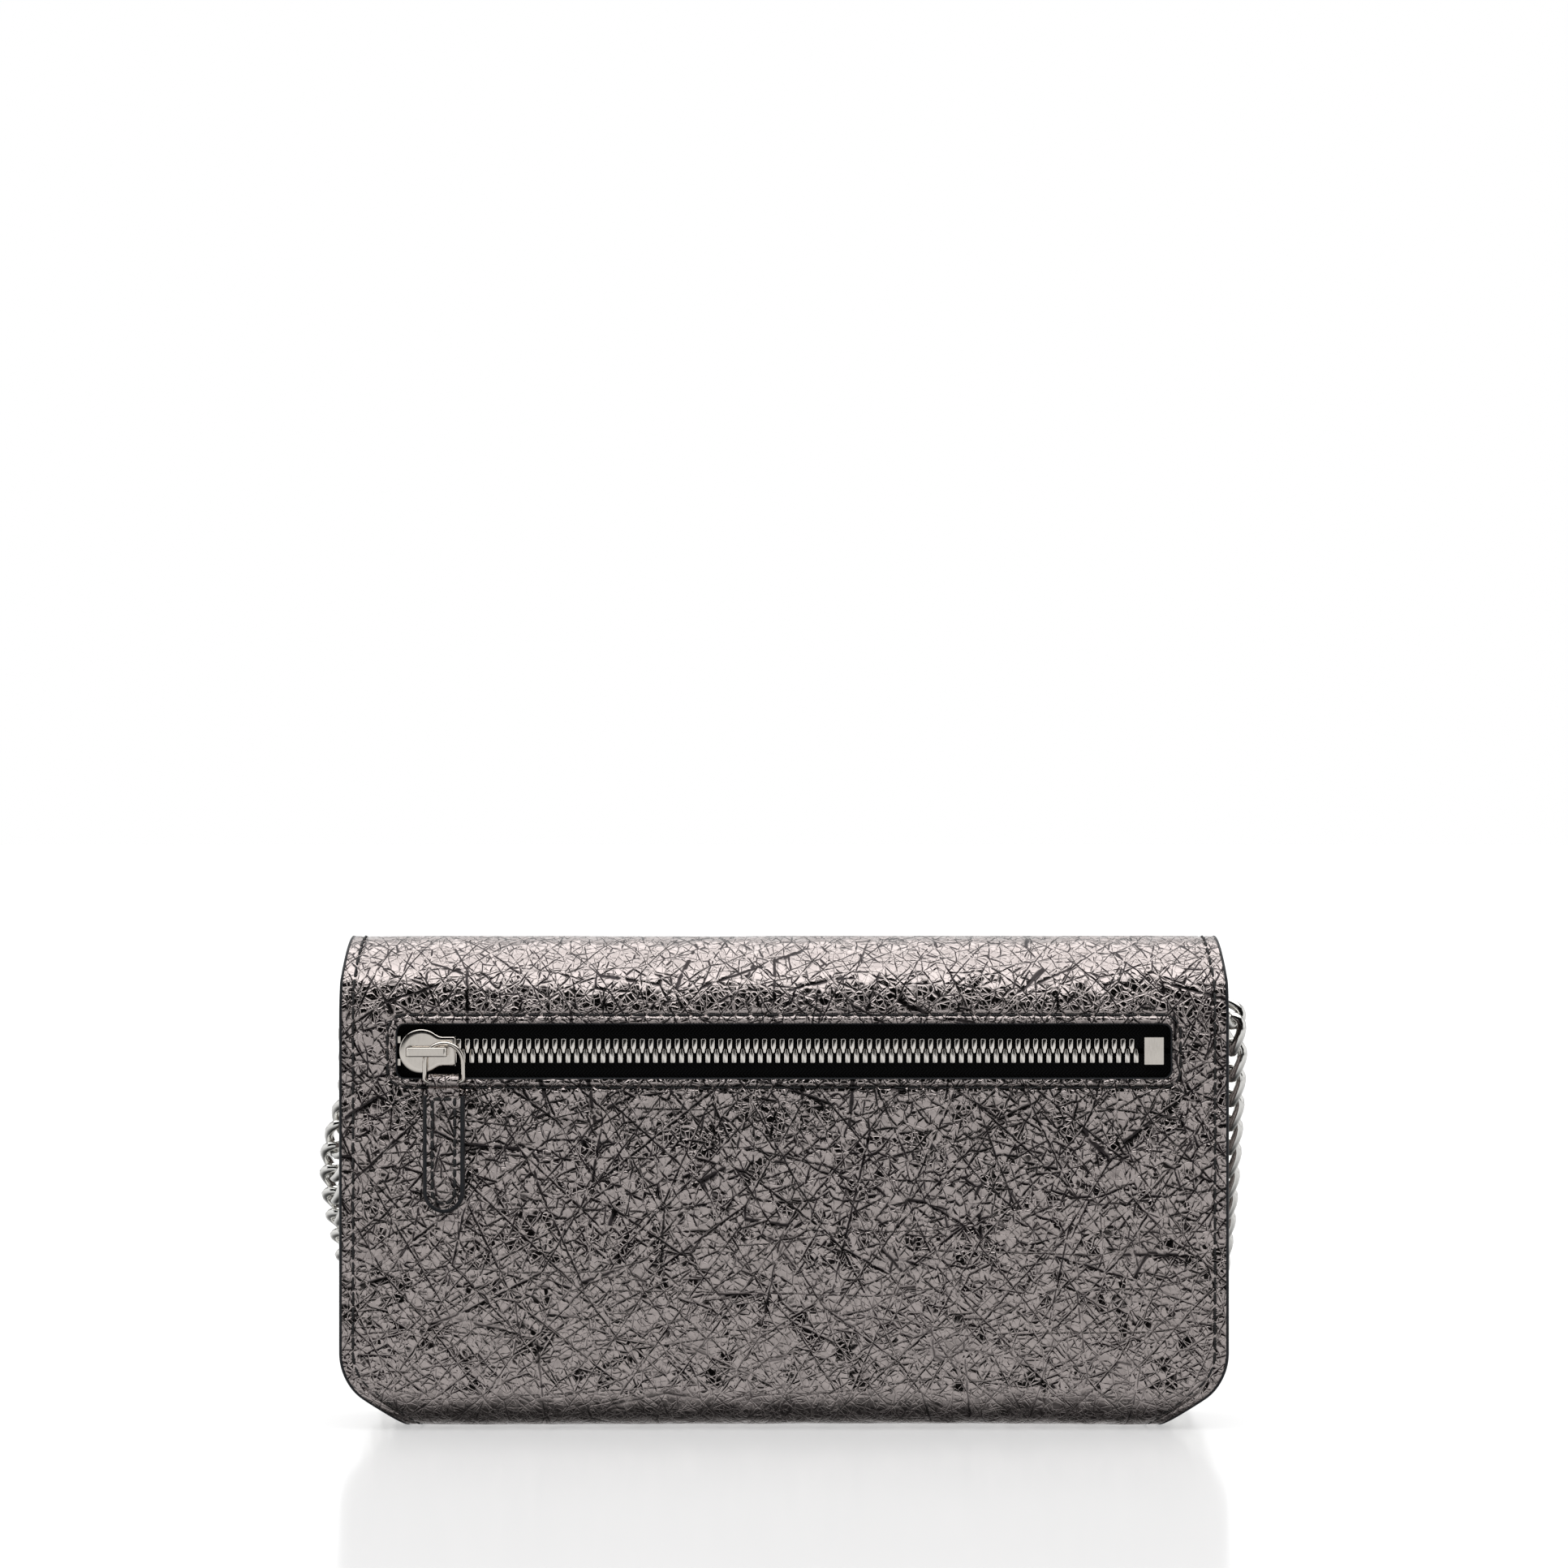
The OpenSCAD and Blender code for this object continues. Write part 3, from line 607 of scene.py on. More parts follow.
def folded_sheet(name, fold, rows, columns, half_at, depth, thickness, swell=None, hole=None):
    """A closed thick sheet. columns gives insets from each side edge and the spacing between them;
    depth(x, s, inset) is how far the outer face stands out; hole is a rounded window (half, s0, s1, r)."""
    rows = np.array(sorted(rows))
    insets, inner_step, inner_half = columns
    insets = np.array(insets, float)
    count = int(2 * inner_half / inner_step)
    share = np.linspace(-1, 1, count + 1)[1:-1]
    half = half_at(rows)
    x_left = -half[:, None] + insets[None, :]
    x_right = half[:, None] - insets[None, ::-1]
    reach = half - insets[-1]
    x = np.hstack([x_left, share[None, :] * reach[:, None], x_right])
    s = np.broadcast_to(rows[:, None], x.shape).copy()
    gone = np.zeros((x.shape[0] - 1, x.shape[1] - 1), bool)
    if hole:
        def away(px, ps):
            return rect_distance(px, ps, *hole)

        mid_x = (x[:-1, :-1] + x[1:, 1:]) / 2
        mid_s = (s[:-1, :-1] + s[1:, 1:]) / 2
        gone = away(mid_x, mid_s) < 0
        touch = np.zeros(x.shape, int)
        total = np.zeros(x.shape, int)
        for di in (0, 1):
            for dj in (0, 1):
                touch[di:di + gone.shape[0], dj:dj + gone.shape[1]] += gone
                total[di:di + gone.shape[0], dj:dj + gone.shape[1]] += 1
        edge = (touch > 0) & (touch < total)
        for _ in range(4):
            d = away(x, s)
            gx = (away(x + 0.01, s) - away(x - 0.01, s)) / 0.02
            gs = (away(x, s + 0.01) - away(x, s - 0.01)) / 0.02
            x = np.where(edge, x - d * gx, x)
            s = np.where(edge, s - d * gs, s)
    inset = half_at(s) - np.abs(x)
    y, z, oy, oz = fold.at(s)
    lift = depth(x, s, inset)
    if swell is not None:
        lift = lift + swell(x, s)
    outer = np.stack([x, y + oy * lift, z + oz * lift], -1)
    inner = np.stack([x, y - oy * thickness, z - oz * thickness], -1)
    n, m = x.shape
    index = np.arange(n * m).reshape(n, m)
    keep = ~gone
    used = np.zeros((n, m), bool)
    for di in (0, 1):
        for dj in (0, 1):
            used[di:di + n - 1, dj:dj + m - 1] |= keep
    renumber = -np.ones(n * m, int)
    renumber[index[used]] = np.arange(used.sum())
    number = renumber.reshape(n, m)
    total = int(used.sum())
    i, j = np.nonzero(keep)
    a, b, c, d = number[i, j], number[i, j + 1], number[i + 1, j + 1], number[i + 1, j]
    top = np.stack([d, c, b, a], 1)
    under = top[:, ::-1] + total
    edges = {}
    for face in top:
        for k in range(4):
            p, q = int(face[k]), int(face[(k + 1) % 4])
            if (q, p) in edges:
                del edges[(q, p)]
            else:
                edges[(p, q)] = True
    walls = [(q, p, p + total, q + total) for p, q in edges]
    points = np.vstack([outer[used], inner[used]])
    faces = top.tolist() + under.tolist() + walls
    mesh = mesh_from(name, points, faces)
    flat = np.stack([x[used], s[used]], 1)
    flat = np.vstack([flat, flat + [0, 400]])
    layer = mesh.uv_layers.new(name="Sheet")
    loops = np.empty(len(mesh.loops), int)
    mesh.loops.foreach_get("vertex_index", loops)
    layer.data.foreach_set("uv", flat[loops].ravel().astype(np.float32))
    mesh.set_sharp_from_angle(angle=math.radians(50))
    return mesh


def steps_between(stops, step):
    """Places about a step apart that take in every stop."""
    out = []
    for a, b in zip(stops[:-1], stops[1:]):
        count = max(int(round((b - a) / step)), 1)
        out += list(np.linspace(a, b, count + 1)[:-1])
    return out + [stops[-1]]


def rows_with(stops, step, fine, fine_step, reach):
    """Row places that take in every stop, and lie closer together round each fine place."""
    rows = set(np.round(steps_between(stops, step), 3))
    for centre in fine:
        rows |= set(np.round(np.arange(centre - reach, centre + reach + 0.01, fine_step), 3))
    rows = np.array(sorted(r for r in rows if stops[0] <= r <= stops[-1]))
    keep = [rows[0]]
    for r in rows[1:]:
        if r - keep[-1] > 0.12 or any(abs(r - s) < 0.001 for s in stops):
            keep.append(r)
    return np.array(keep)


def groove(distance, width=0.55, deep=0.28):
    """Depth of a soft groove at a distance from its middle."""
    return -deep * np.exp(-(distance / width) ** 2)


# Columns from the side edge inwards: close together at the stitching, and then at the window's rim
EDGE_INSETS = [0, 0.3, 0.7, 1.3, 2.0, 2.4, 2.65, 2.9, 3.15, 3.4, 3.9, 4.8, 6.0, 7.4, 8.8]
RIM_INSETS = [9.4, 9.8, 10.05, 10.25, 10.5, 10.9, 11.4, 11.8, 12.0, 12.3, 12.7, 13.2, 13.8, 14.4]
FLAP_RUN = ROLL_Z - FLAP_LOW
ROLL_RUN = math.pi * ROLL_R
S_FLAT = S_BASE + math.pi / 2 * BASE_R
SHELL = Fold(
    ("line", (FLAP_Y, FLAP_LOW), (FLAP_Y, ROLL_Z)),
    ("arc", (0, ROLL_Z), ROLL_R, 0, 180),
    ("line", (BACK_Y, ROLL_Z), (BACK_Y, BASE_R)),
    ("arc", (BACK_Y + BASE_R, BASE_R), BASE_R, 180, 270),
    ("line", (BACK_Y + BASE_R, 0), (SPLIT_Y - 0.15, 0)),
)


def back_s(z):
    """Length along the shell at a height on the back face."""
    return S_ROLL_END + ROLL_Z - np.asarray(z, float)


def corner_half(z, half_w, r, centre_z):
    """Half width at a height: a round corner, then an edge that runs on straight to the base."""
    side, reach = half_w - r - BASE_HALF, math.hypot(half_w - r - BASE_HALF, centre_z)
    rise = math.atan2(centre_z, side) - math.asin(r / reach)
    meet = math.sqrt(reach ** 2 - r ** 2) * math.sin(rise)
    arc = half_w - r + np.sqrt(np.maximum(r ** 2 - np.maximum(centre_z - z, 0) ** 2, 0))
    return np.where(z < meet, BASE_HALF + np.maximum(z, 0) / math.tan(rise), arc)


def shell_half(s):
    """Half width of the outer leather at a length along it."""
    s = np.asarray(s, float)
    _, z, _, _ = SHELL.at(s)
    on_flap = s < FLAP_RUN + ROLL_RUN / 2
    low = FLAP_LOW + FLAP_CORNER
    round_end = np.sqrt(np.maximum(FLAP_CORNER ** 2 - np.maximum(low - z, 0) ** 2, 0))
    flap = FLAP_HALF - FLAP_CORNER + round_end
    grown = np.clip((z - ROLL_Z + 3) / 11, 0, 1)
    flap = flap + (FLAP_TOP_HALF - FLAP_HALF) * grown * grown * (3 - 2 * grown)
    back = corner_half(z, BODY_HALF, CORNER_R, CORNER_Z)
    near_top = np.clip((z - ROLL_Z - 8) / 9, 0, 1)
    back = back - (BODY_HALF - FLAP_TOP_HALF) * near_top
    return np.where(on_flap, flap, back)


RIM_LOW = back_s(ZIP_Z - WINDOW_H / 2 - 1.7)
RIM_HIGH = back_s(ZIP_Z + WINDOW_H / 2 + 1.7)
HOLE = (WINDOW_HALF, float(back_s(ZIP_Z + WINDOW_H / 2)), float(back_s(ZIP_Z - WINDOW_H / 2)), 2.0)


def shell_depth(x, s, inset):
    """The outer face: a sunk stitch line round the edge, and a raised rim round the zip's window."""
    lift = -0.22 * np.clip(1 - inset / 1.1, 0, 1) ** 2
    lift = lift + groove(inset - STITCH_INSET) + groove(s - STITCH_INSET)
    from_hole = rect_distance(x, s, *HOLE)
    across = np.clip((from_hole + 0.25) / 1.95, 0, 1)
    bead = np.where(from_hole < 1.7, 0.3 * np.sin(across * math.pi) ** 0.7, 0)
    lift = lift + bead + groove(from_hole - 1.75, 0.4, 0.3)
    return lift


def shell_swell(x, s):
    """Slow swells that die away at the edges, the window and the base."""
    half = shell_half(s)
    calm = np.clip((half - np.abs(x)) / 8, 0, 1)
    from_hole = rect_distance(x, s, *HOLE)
    calm = calm * np.clip((from_hole - 1.5) / 5, 0, 1) * np.clip(s / 6, 0, 1)
    return calm * (lumps(x, s, 11, 46, 0.13) + lumps(x, s, 12, 17, 0.035))


def make_shell():
    """Back panel, rolled top and flap are one piece of leather."""
    _, hole_start, hole_end, _ = HOLE
    fine = [float(RIM_LOW), float(RIM_HIGH), hole_start + 0.6, hole_end - 0.6, STITCH_INSET]
    stops = [0, FLAP_RUN, S_ROLL_END, hole_start, hole_end, S_BASE, S_FLAT, SHELL.length]
    rows = rows_with(stops, 1.15, fine, 0.3, 1.5)
    extra = [FLAP_CORNER * (1 - math.sin(math.radians(a))) for a in range(0, 91, 5)]
    for a in range(0, 91, 5):
        z = CORNER_Z - CORNER_R * math.sin(math.radians(a))
        on_turn = a >= 60 and z < BASE_R
        extra.append(S_BASE + BASE_R * math.asin((BASE_R - z) / BASE_R) if on_turn else float(back_s(z)))
    extra = [r for r in extra if 0 < r < SHELL.length]
    rows = np.array(sorted(set(np.round(np.concatenate([rows, extra]), 3))))
    keep = [0]
    for k in range(1, len(rows)):
        if rows[k] - rows[keep[-1]] > 0.1:
            keep.append(k)
    rows = rows[keep]
    insets = EDGE_INSETS + RIM_INSETS
    mesh = folded_sheet("shell", SHELL, rows, (insets, 1.35, BODY_HALF - insets[-1]), shell_half,
                        shell_depth, LEATHER, shell_swell, HOLE)
    obj = add_object("outer_leather", mesh, MAT["leather"])
    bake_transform(obj)
    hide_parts("back_panel", "flap_leather")


def stitches(flat_lines, fold, pitch=3.2, length=2.45, thick=0.24, lift=-0.1):
    """Thread along lines drawn flat on the sheet: one short rounded bead per stitch."""
    parts = []
    for line in flat_lines:
        line = np.asarray(line, float)
        along = np.concatenate([[0], np.cumsum(np.linalg.norm(np.diff(line, axis=0), axis=1))])
        count = max(int(round(along[-1] / pitch)), 1)
        gap = along[-1] / count
        for k in range(count):
            mid = (k + 0.5) * gap
            at = mid + np.array([-0.5, -0.42, -0.25, 0, 0.25, 0.42, 0.5]) * length * gap / pitch
            flat = np.stack([np.interp(at, along, line[:, c]) for c in (0, 1)], 1)
            y, z, oy, oz = fold.at(flat[:, 1])
            dip = np.array([-0.28, -0.1, 0, 0.05, 0, -0.1, -0.28])
            path = np.stack([flat[:, 0], y + oy * (lift + dip), z + oz * (lift + dip)], 1)
            up = np.stack([np.zeros_like(oy), oy, oz], 1)
            parts.append(tube(path, (thick, thick * 0.85), up, 6))
    return joined(parts)


def flat_outline(half_at, length, across, fine=0.02):
    """A sheet's edge on the flat, from one side round to the other, by way of its start or its end."""
    s = np.arange(0.0, length + fine / 2, fine)
    half = half_at(np.clip(s, 0, length))
    side = np.stack([half, s], 1)
    other = side * [-1, 1]
    parts = [side[::-1], other] if across == "start" else [side, other[::-1]]
    return resample(np.vstack(parts), 0.6)


def moved_in(line, inset):
    """The line moved towards the middle of the sheet."""
    run = unit(np.gradient(line, axis=0))
    across = np.stack([-run[:, 1], run[:, 0]], 1)
    middle = line.mean(0)
    if ((middle - line) * across).sum() < 0:
        across = -across
    return line + across * inset


def edge_strip(line, fold, inset=0.28, lift=-0.6, radii=(0.42, 0.72)):
    """Painted edge: an oval bead along the cut edge of the leather."""
    flat = moved_in(line, inset)
    y, z, oy, oz = fold.at(flat[:, 1])
    path = np.stack([flat[:, 0], y + oy * lift, z + oz * lift], 1)
    return tube(path, radii, np.stack([np.zeros_like(oy), oy, oz], 1), 10)


def dress_sheet(name, line, fold):
    """Edge paint and stitching for one sheet."""
    seam = stitches([moved_in(line, STITCH_INSET)], fold)
    for part, shape, material in (("edge", edge_strip(line, fold), "edge"), ("stitching", seam, "thread")):
        obj = add_solid(name + "_" + part, shape, material, None)
        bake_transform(obj)


def window_ring(away, step=0.5):
    """A line round the zip's window on the flat sheet."""
    half, s0, s1, r = HOLE
    ring = round_rect(-half - away, half + away, s0 - away, s1 + away, r + away, 8)
    ring.append(ring[0])
    return resample(ring, step)


def make_outer_leather():
    make_shell()
    line = flat_outline(shell_half, SHELL.length, "start")
    dress_sheet("outer", line, SHELL)
    add_solid("window_stitching", stitches([window_ring(1.75)], SHELL), "thread", "body")
    ring = window_ring(-0.08)[:-1]
    y, z, oy, oz = SHELL.at(ring[:, 1])
    path = np.stack([ring[:, 0], y - oy * 0.6, z - oz * 0.6], 1)
    lip = tube(path, (0.3, 0.7), np.stack([np.zeros_like(oy), oy, oz], 1), 10, closed=True)
    add_solid("window_edge", lip, "edge", "body")


# ---- Front wall ----
FRONT = Fold(
    ("arc", (SPLIT_Y, BASE_R), BASE_R, 271, 360),
    ("line", (FRONT_Y, BASE_R), (FRONT_Y, FRONT_H)),
)


def front_half(s):
    _, z, _, _ = FRONT.at(np.asarray(s, float))
    return corner_half(z, FRONT_HALF, FRONT_CORNER_R, FRONT_CORNER_Z)


def make_front_wall():
    def depth(x, s, inset):
        lift = -0.22 * np.clip(1 - inset / 1.1, 0, 1) ** 2 + groove(inset - STITCH_INSET)
        return lift + np.where(inset > STITCH_INSET, groove(FRONT.length - s - STITCH_INSET), 0)

    def swell(x, s):
        calm = np.clip((front_half(s) - np.abs(x)) / 8, 0, 1) * np.clip(s / 6, 0, 1)
        return calm * np.clip((FRONT.length - s) / 6, 0, 1) * lumps(x, s, 21, 46, 0.12)

    rows = rows_with([0, 14, FRONT.length], 1.6, [FRONT.length - STITCH_INSET], 0.4, 1.2)
    columns = (EDGE_INSETS, 1.8, 80)
    mesh = folded_sheet("front_panel", FRONT, rows, columns, front_half, depth, LEATHER, swell)
    obj = add_object("front_leather", mesh, MAT["leather"])
    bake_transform(obj)
    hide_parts("front_panel")
    line = flat_outline(front_half, FRONT.length, "end")
    dress_sheet("front", line, FRONT)


# ---- Flap layers ----
def make_inner_layers():
    """The board and the lining that run round the roll, bent with the leather."""
    outer_r, thickness, back_low = ROLL_R - LEATHER, 0.6, 90.5
    lining_r = outer_r - thickness
    back_turn = 180 - math.degrees(math.asin((back_low - ROLL_Z) / lining_r))
    for name, outer_r, end, inset, material, slot, nodes in (
        ("flap_stiffener", outer_r, 86, 3.0, "board", "stiffener", ["flap_board"]),
        ("inner_lining", lining_r, back_turn, 1.0, "lining", "lining", ["flap_lining", "top_lining"]),
    ):
        low = FLAP_LOW + inset
        fold = Fold(("line", (outer_r, low), (outer_r, ROLL_Z)), ("arc", (0, ROLL_Z), outer_r, 0, end))

        def half_at(s, fold=fold, inset=inset, low=low):
            _, z, _, _ = fold.at(np.asarray(s, float))
            r = FLAP_CORNER - inset
            round_end = np.sqrt(np.maximum(r * r - np.maximum(low + r - z, 0) ** 2, 0))
            return np.minimum(FLAP_HALF - inset - r + round_end, INNER_HALF)

        rows = rows_with([0, ROLL_Z - low, fold.length], 2.0, [0], 0.5, 3)
        mesh = folded_sheet(name, fold, rows, ([0, 1, 3], 4.0, 84), half_at,
                            lambda x, s, inset: np.zeros_like(x), thickness)
        obj = add_object(name, mesh, MAT[material])
        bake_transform(obj)
        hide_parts(*nodes)


# ---- Gussets ----
def make_gusset(side):
    """Pleated side strip, sewn to the back panel and to the front wall."""
    node = "gusset_right" if side > 0 else "gusset_left"
    lo, hi = span(node)
    back_edge, front_edge = lo[1] + 0.4, hi[1] - 0.4
    levels = np.linspace(lo[2], hi[2], 44)
    rows = []
    for z in levels:
        round_end = math.sqrt(max((CORNER_R - 1.5) ** 2 - max(CORNER_Z - z, 0) ** 2, 0))
        limit = BODY_HALF - CORNER_R + round_end - 0.3
        spread = 0.25 * math.sin(z * 0.11)
        back = [(93.3, back_edge), (89.6, back_edge), (88.7, back_edge + 1.2),
                (88.8, -11.5), (88.6, -7.9), (86.5, -5.6)]
        pleat = [(82.4, -2.2), (80.5 + 0.3 * spread, -0.5), (81.6, 1.7), (83.2 + spread, 4.6), (84.9, 7.6)]
        front = [(86.2, front_edge - 0.4), (89.2, front_edge)]
        held = [[(min(x, limit), y) for x, y in part] for part in (back, front)]
        rows.append(smooth_path(held[0] + pleat + held[1], 5))
    count = len(rows[0])
    points = [(side * x, y, z) for z, row in zip(levels, rows) for x, y in row]
    faces = []
    for i in range(len(levels) - 1):
        for j in range(count - 1):
            a = i * count + j
            face = (a, a + 1, a + count + 1, a + count)
            faces.append(face if side > 0 else face[::-1])
    mesh = mesh_from(node + "_sheet", points, faces)
    layer = mesh.uv_layers.new(name="Sheet")
    for loop in mesh.loops:
        i, j = divmod(loop.vertex_index, count)
        layer.data[loop.index].uv = (j * 0.55, levels[i])
    obj = add_object(node + "_leather", mesh, MAT["gusset"])
    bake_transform(obj)
    solid = obj.modifiers.new("thickness", "SOLIDIFY")
    solid.thickness, solid.offset = 0.8 * MM, 0.0
    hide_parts(node)


# ---- Zip ----
def tooth_parts(side, shift, count, pitch, x0):
    """One row of teeth: a wide pillowed foot that narrows to a tip across the middle."""
    half_w, tip_w, foot, high, reach = 0.55, 0.36, 0.62, 2.6, 0.5
    outline = np.array([
        (-half_w, high - 0.12), (-half_w + 0.12, high), (half_w - 0.12, high), (half_w, high - 0.12),
        (half_w, foot), (tip_w, foot - 0.3), (tip_w * 0.9, -reach + 0.3), (tip_w * 0.45, -reach),
        (-tip_w * 0.45, -reach), (-tip_w * 0.9, -reach + 0.3), (-tip_w, foot - 0.3), (-half_w, foot)])
    levels = [(-1.08, 0.66, 0.95), (-1.04, 0.84, 0.975), (-0.93, 0.96, 0.99), (-0.75, 1.0, 1.0),
              (0.75, 1.0, 1.0), (1.0, 0.8, 0.95)]
    n = len(outline)
    middle = (high - reach) / 2
    parts = []
    for k in range(count):
        x = x0 + shift + k * pitch
        points = []
        for y, across, tall in levels:
            for px, pz in outline:
                points.append((x + px * across, TAPE_Y + y, ZIP_Z + side * (middle + (pz - middle) * tall)))
        faces = [tuple(range(n)), tuple(range(len(points) - 1, len(points) - n - 1, -1))]
        for i in range(len(levels) - 1):
            for j in range(n):
                m = (j + 1) % n
                faces.append((i * n + j, (i + 1) * n + j, (i + 1) * n + m, i * n + m))
        parts.append((points, faces))
    return parts


def make_zip():
    lo, hi = span("zip_teeth_upper")
    pitch = 1.87
    x0 = lo[0] + 0.52
    count = int(round((hi[0] - lo[0] - 1.04) / pitch)) + 1
    for node, side, shift in (("zip_teeth_upper", 1, 0.0), ("zip_teeth_lower", -1, pitch / 2)):
        teeth = joined(tooth_parts(side, shift, count, pitch, x0))
        obj = add_solid(node + "_row", teeth, "teeth", "body", 40)
        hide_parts(node)
    for node in ("zip_tape_upper", "zip_tape_lower"):
        shown(node, MAT["tape"], 0)
    for node in ("zip_bottom_stop", "zip_top_stops"):
        shown(node, MAT["nickel"], 0.3)


# ---- Slider, ring and tab ----
def domed(outline, y_face, y_back, dome, edge, facing=-1):
    """A plate with a rounded edge and a slightly domed face, from an outline in X and Z."""
    outline = np.asarray(outline, float)
    centre = (outline.max(0) + outline.min(0)) / 2
    half = (outline.max(0) - outline.min(0)) / 2
    n = len(outline)
    rings = [(0.0, edge), (edge * 0.12, edge * 0.5), (edge * 0.42, edge * 0.16), (edge, 0.0)]
    shape = [(1 - inset / half, y_face - facing * sink) for inset, sink in rings]
    inner = 1 - edge / half
    for share in (0.85, 0.65, 0.4, 0.15):
        shape.append((inner * share, y_face + facing * dome * (1 - share ** 2)))
    points = [(x, y_back, z) for x, z in outline]
    for scale, y in shape:
        points += [(x, y, z) for x, z in centre + (outline - centre) * scale]
    faces = [tuple(range(n))[::-1]]
    levels = len(shape) + 1
    for i in range(levels - 1):
        for j in range(n):
            m = (j + 1) % n
            faces.append((i * n + j, i * n + m, (i + 1) * n + m, (i + 1) * n + j))
    faces.append(tuple((levels - 1) * n + k for k in range(n)))
    return np.array(points), faces


def make_slider():
    """Slider: a flat head with a rounded edge that narrows into square shoulders, a lower plate, side guides
    and the bridge.
    """
    x0, x1 = slider_lo[0], slider_hi[0]
    head_r = (slider_hi[2] - slider_lo[2]) / 2
    head_x, nose = x0 + head_r, 3.15
    start = math.degrees(math.asin(min((nose + 0.55) / head_r, 1)))
    arc = [(head_x + head_r * math.cos(a), ZIP_Z + head_r * math.sin(a))
           for a in np.radians(np.linspace(start, 360 - start, 40))]
    edge_x = arc[0][0]
    shoulder = [(edge_x + 0.8, -nose - 0.12), (edge_x + 1.6, -nose), (x1 - 0.35, -nose), (x1, -nose + 0.35)]
    top = [(x, ZIP_Z - z) for x, z in shoulder[::-1]]
    low = [(x, ZIP_Z + z) for x, z in shoulder]
    outline = arc + low + top
    y_out, y_under = slider_lo[1], slider_hi[1]
    plate = domed(outline, y_out, y_out + 1.0, 0.0, 0.45)
    under = domed(outline, y_under, y_under - 0.85, 0.1, 0.3, 1)
    guides = [prism(round_rect(x0 + 4.6, x1 - 0.1, ZIP_Z + z0, ZIP_Z + z1, 0.15), y_out + 0.9, y_under - 0.8)
              for z0, z1 in ((2.8, 3.12), (-3.12, -2.8))]
    wedge = prism(round_rect(x0 + 2.6, x0 + 4.8, ZIP_Z - 1.1, ZIP_Z + 1.1, 1.0), y_out + 0.9, y_under - 0.8)
    obj = add_solid("slider", joined([plate, under, wedge] + guides), "nickel", "zip_slider", 50)
    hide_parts("slider_body")
    lo, hi = span("slider_bridge")
    half_h = (hi[2] - lo[2]) / 2
    (x0, y0), (x1, y1) = lo[:2], hi[:2]
    side = [(x0, y1), (x0, y0 + 0.7), (x0 + 0.25, y0 + 0.25), (x0 + 0.8, y0),
            (x1 - 0.8, y0), (x1 - 0.25, y0 + 0.25), (x1, y0 + 0.7), (x1, y1),
            (x1 - 1, y1), (x1 - 1, y0 + 1.1), (x0 + 1, y0 + 1.1), (x0 + 1, y1)]
    count = len(side)
    points = [(x, y, ZIP_Z + z) for z in (-half_h, half_h) for x, y in side]
    faces = [tuple(range(count)), tuple(range(2 * count - 1, count - 1, -1))]
    faces += [(i, i + count, (i + 1) % count + count, (i + 1) % count) for i in range(count)]
    obj = add_solid("bridge", (points, faces), "nickel", "zip_slider", 50)
    bevelled(obj, 0.28, 25)
    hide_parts("slider_bridge")


def make_ring():
    """Pull ring bent from round wire: a round top and a straight bar across the bottom."""
    wire = 0.5
    cx, y = (ring_lo[0] + ring_hi[0]) / 2, (ring_lo[1] + ring_hi[1]) / 2
    r = (ring_hi[0] - ring_lo[0]) / 2 - wire
    top_z, low = ring_hi[2] - wire - r, ring_lo[2] + wire
    arc = [(cx + r * math.cos(a), top_z + r * math.sin(a)) for a in np.linspace(0, math.pi, 33)]
    corner = 0.9
    left = [(cx - r + corner * (1 - math.cos(a)), low + corner * (1 - math.sin(a)))
            for a in np.linspace(0, math.pi / 2, 7)]
    right = [(2 * cx - x, z) for x, z in left[::-1]]
    line = resample(np.array(arc + left + right + [arc[0]]), 0.35)[:-1]
    path = np.stack([line[:, 0], np.full(len(line), y), line[:, 1]], 1)
    wire_ring = tube(path, (wire, wire), (0, 1, 0), 12, closed=True)
    obj = add_solid("ring", wire_ring, "nickel", "pull_ring")
    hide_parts("pull_ring")


def make_pull():
    make_slider()
    make_ring()
    shown("tab_loop", MAT["small_leather"], 0.15)
    for node in ("tab_front", "tab_back"):
        shown(node, MAT["small_leather"], 0.2)
    ring_x = (leaf_lo[0] + leaf_hi[0]) / 2
    half = (leaf_hi[0] - leaf_lo[0]) / 2
    top, low = leaf_hi[2], leaf_lo[2]
    back_y = span("tab_back")[1][1]
    middle_y = (leaf_lo[1] + back_y) / 2

    def round_end(reach):
        turns = np.linspace(0, -math.pi, 25)
        return [(ring_x + reach * math.cos(a), low + half + reach * math.sin(a)) for a in turns]

    line = np.array([(ring_x + half, top)] + round_end(half) + [(ring_x - half, top)])
    line = resample(line, 0.45)
    path = np.stack([line[:, 0], np.full(len(line), middle_y), line[:, 1]], 1)
    path[:, 0] -= np.sign(path[:, 0] - ring_x) * 0.12
    add_solid("tab_edge", tube(path, (0.62, 1.34), (0, 1, 0), 12), "edge", "pull_tab")
    inset = 1.6
    seam_top = [(ring_x - half + inset, top - 0.6), (ring_x + half - inset, top - 0.6)]
    seam = np.array(seam_top + round_end(half - inset) + seam_top[:1])
    seam = resample(seam, 0.2)
    parts = []
    along = np.arange(len(seam)) * path_length(seam) / (len(seam) - 1)
    count = int(along[-1] / 2.1)
    for k in range(count):
        mid = (k + 0.5) * along[-1] / count
        at = mid + np.array([-0.8, -0.6, -0.3, 0, 0.3, 0.6, 0.8])
        x, z = (np.interp(at, along, seam[:, c]) for c in (0, 1))
        for y, sign in ((leaf_lo[1], -1), (back_y, 1)):
            dip = np.array([-0.25, -0.05, 0.04, 0.06, 0.04, -0.05, -0.25])
            parts.append(tube(np.stack([x, y + sign * dip, z], 1), (0.38, 0.28), (0, 1, 0), 6))
    add_solid("tab_stitching", joined(parts), "thread", "pull_tab")


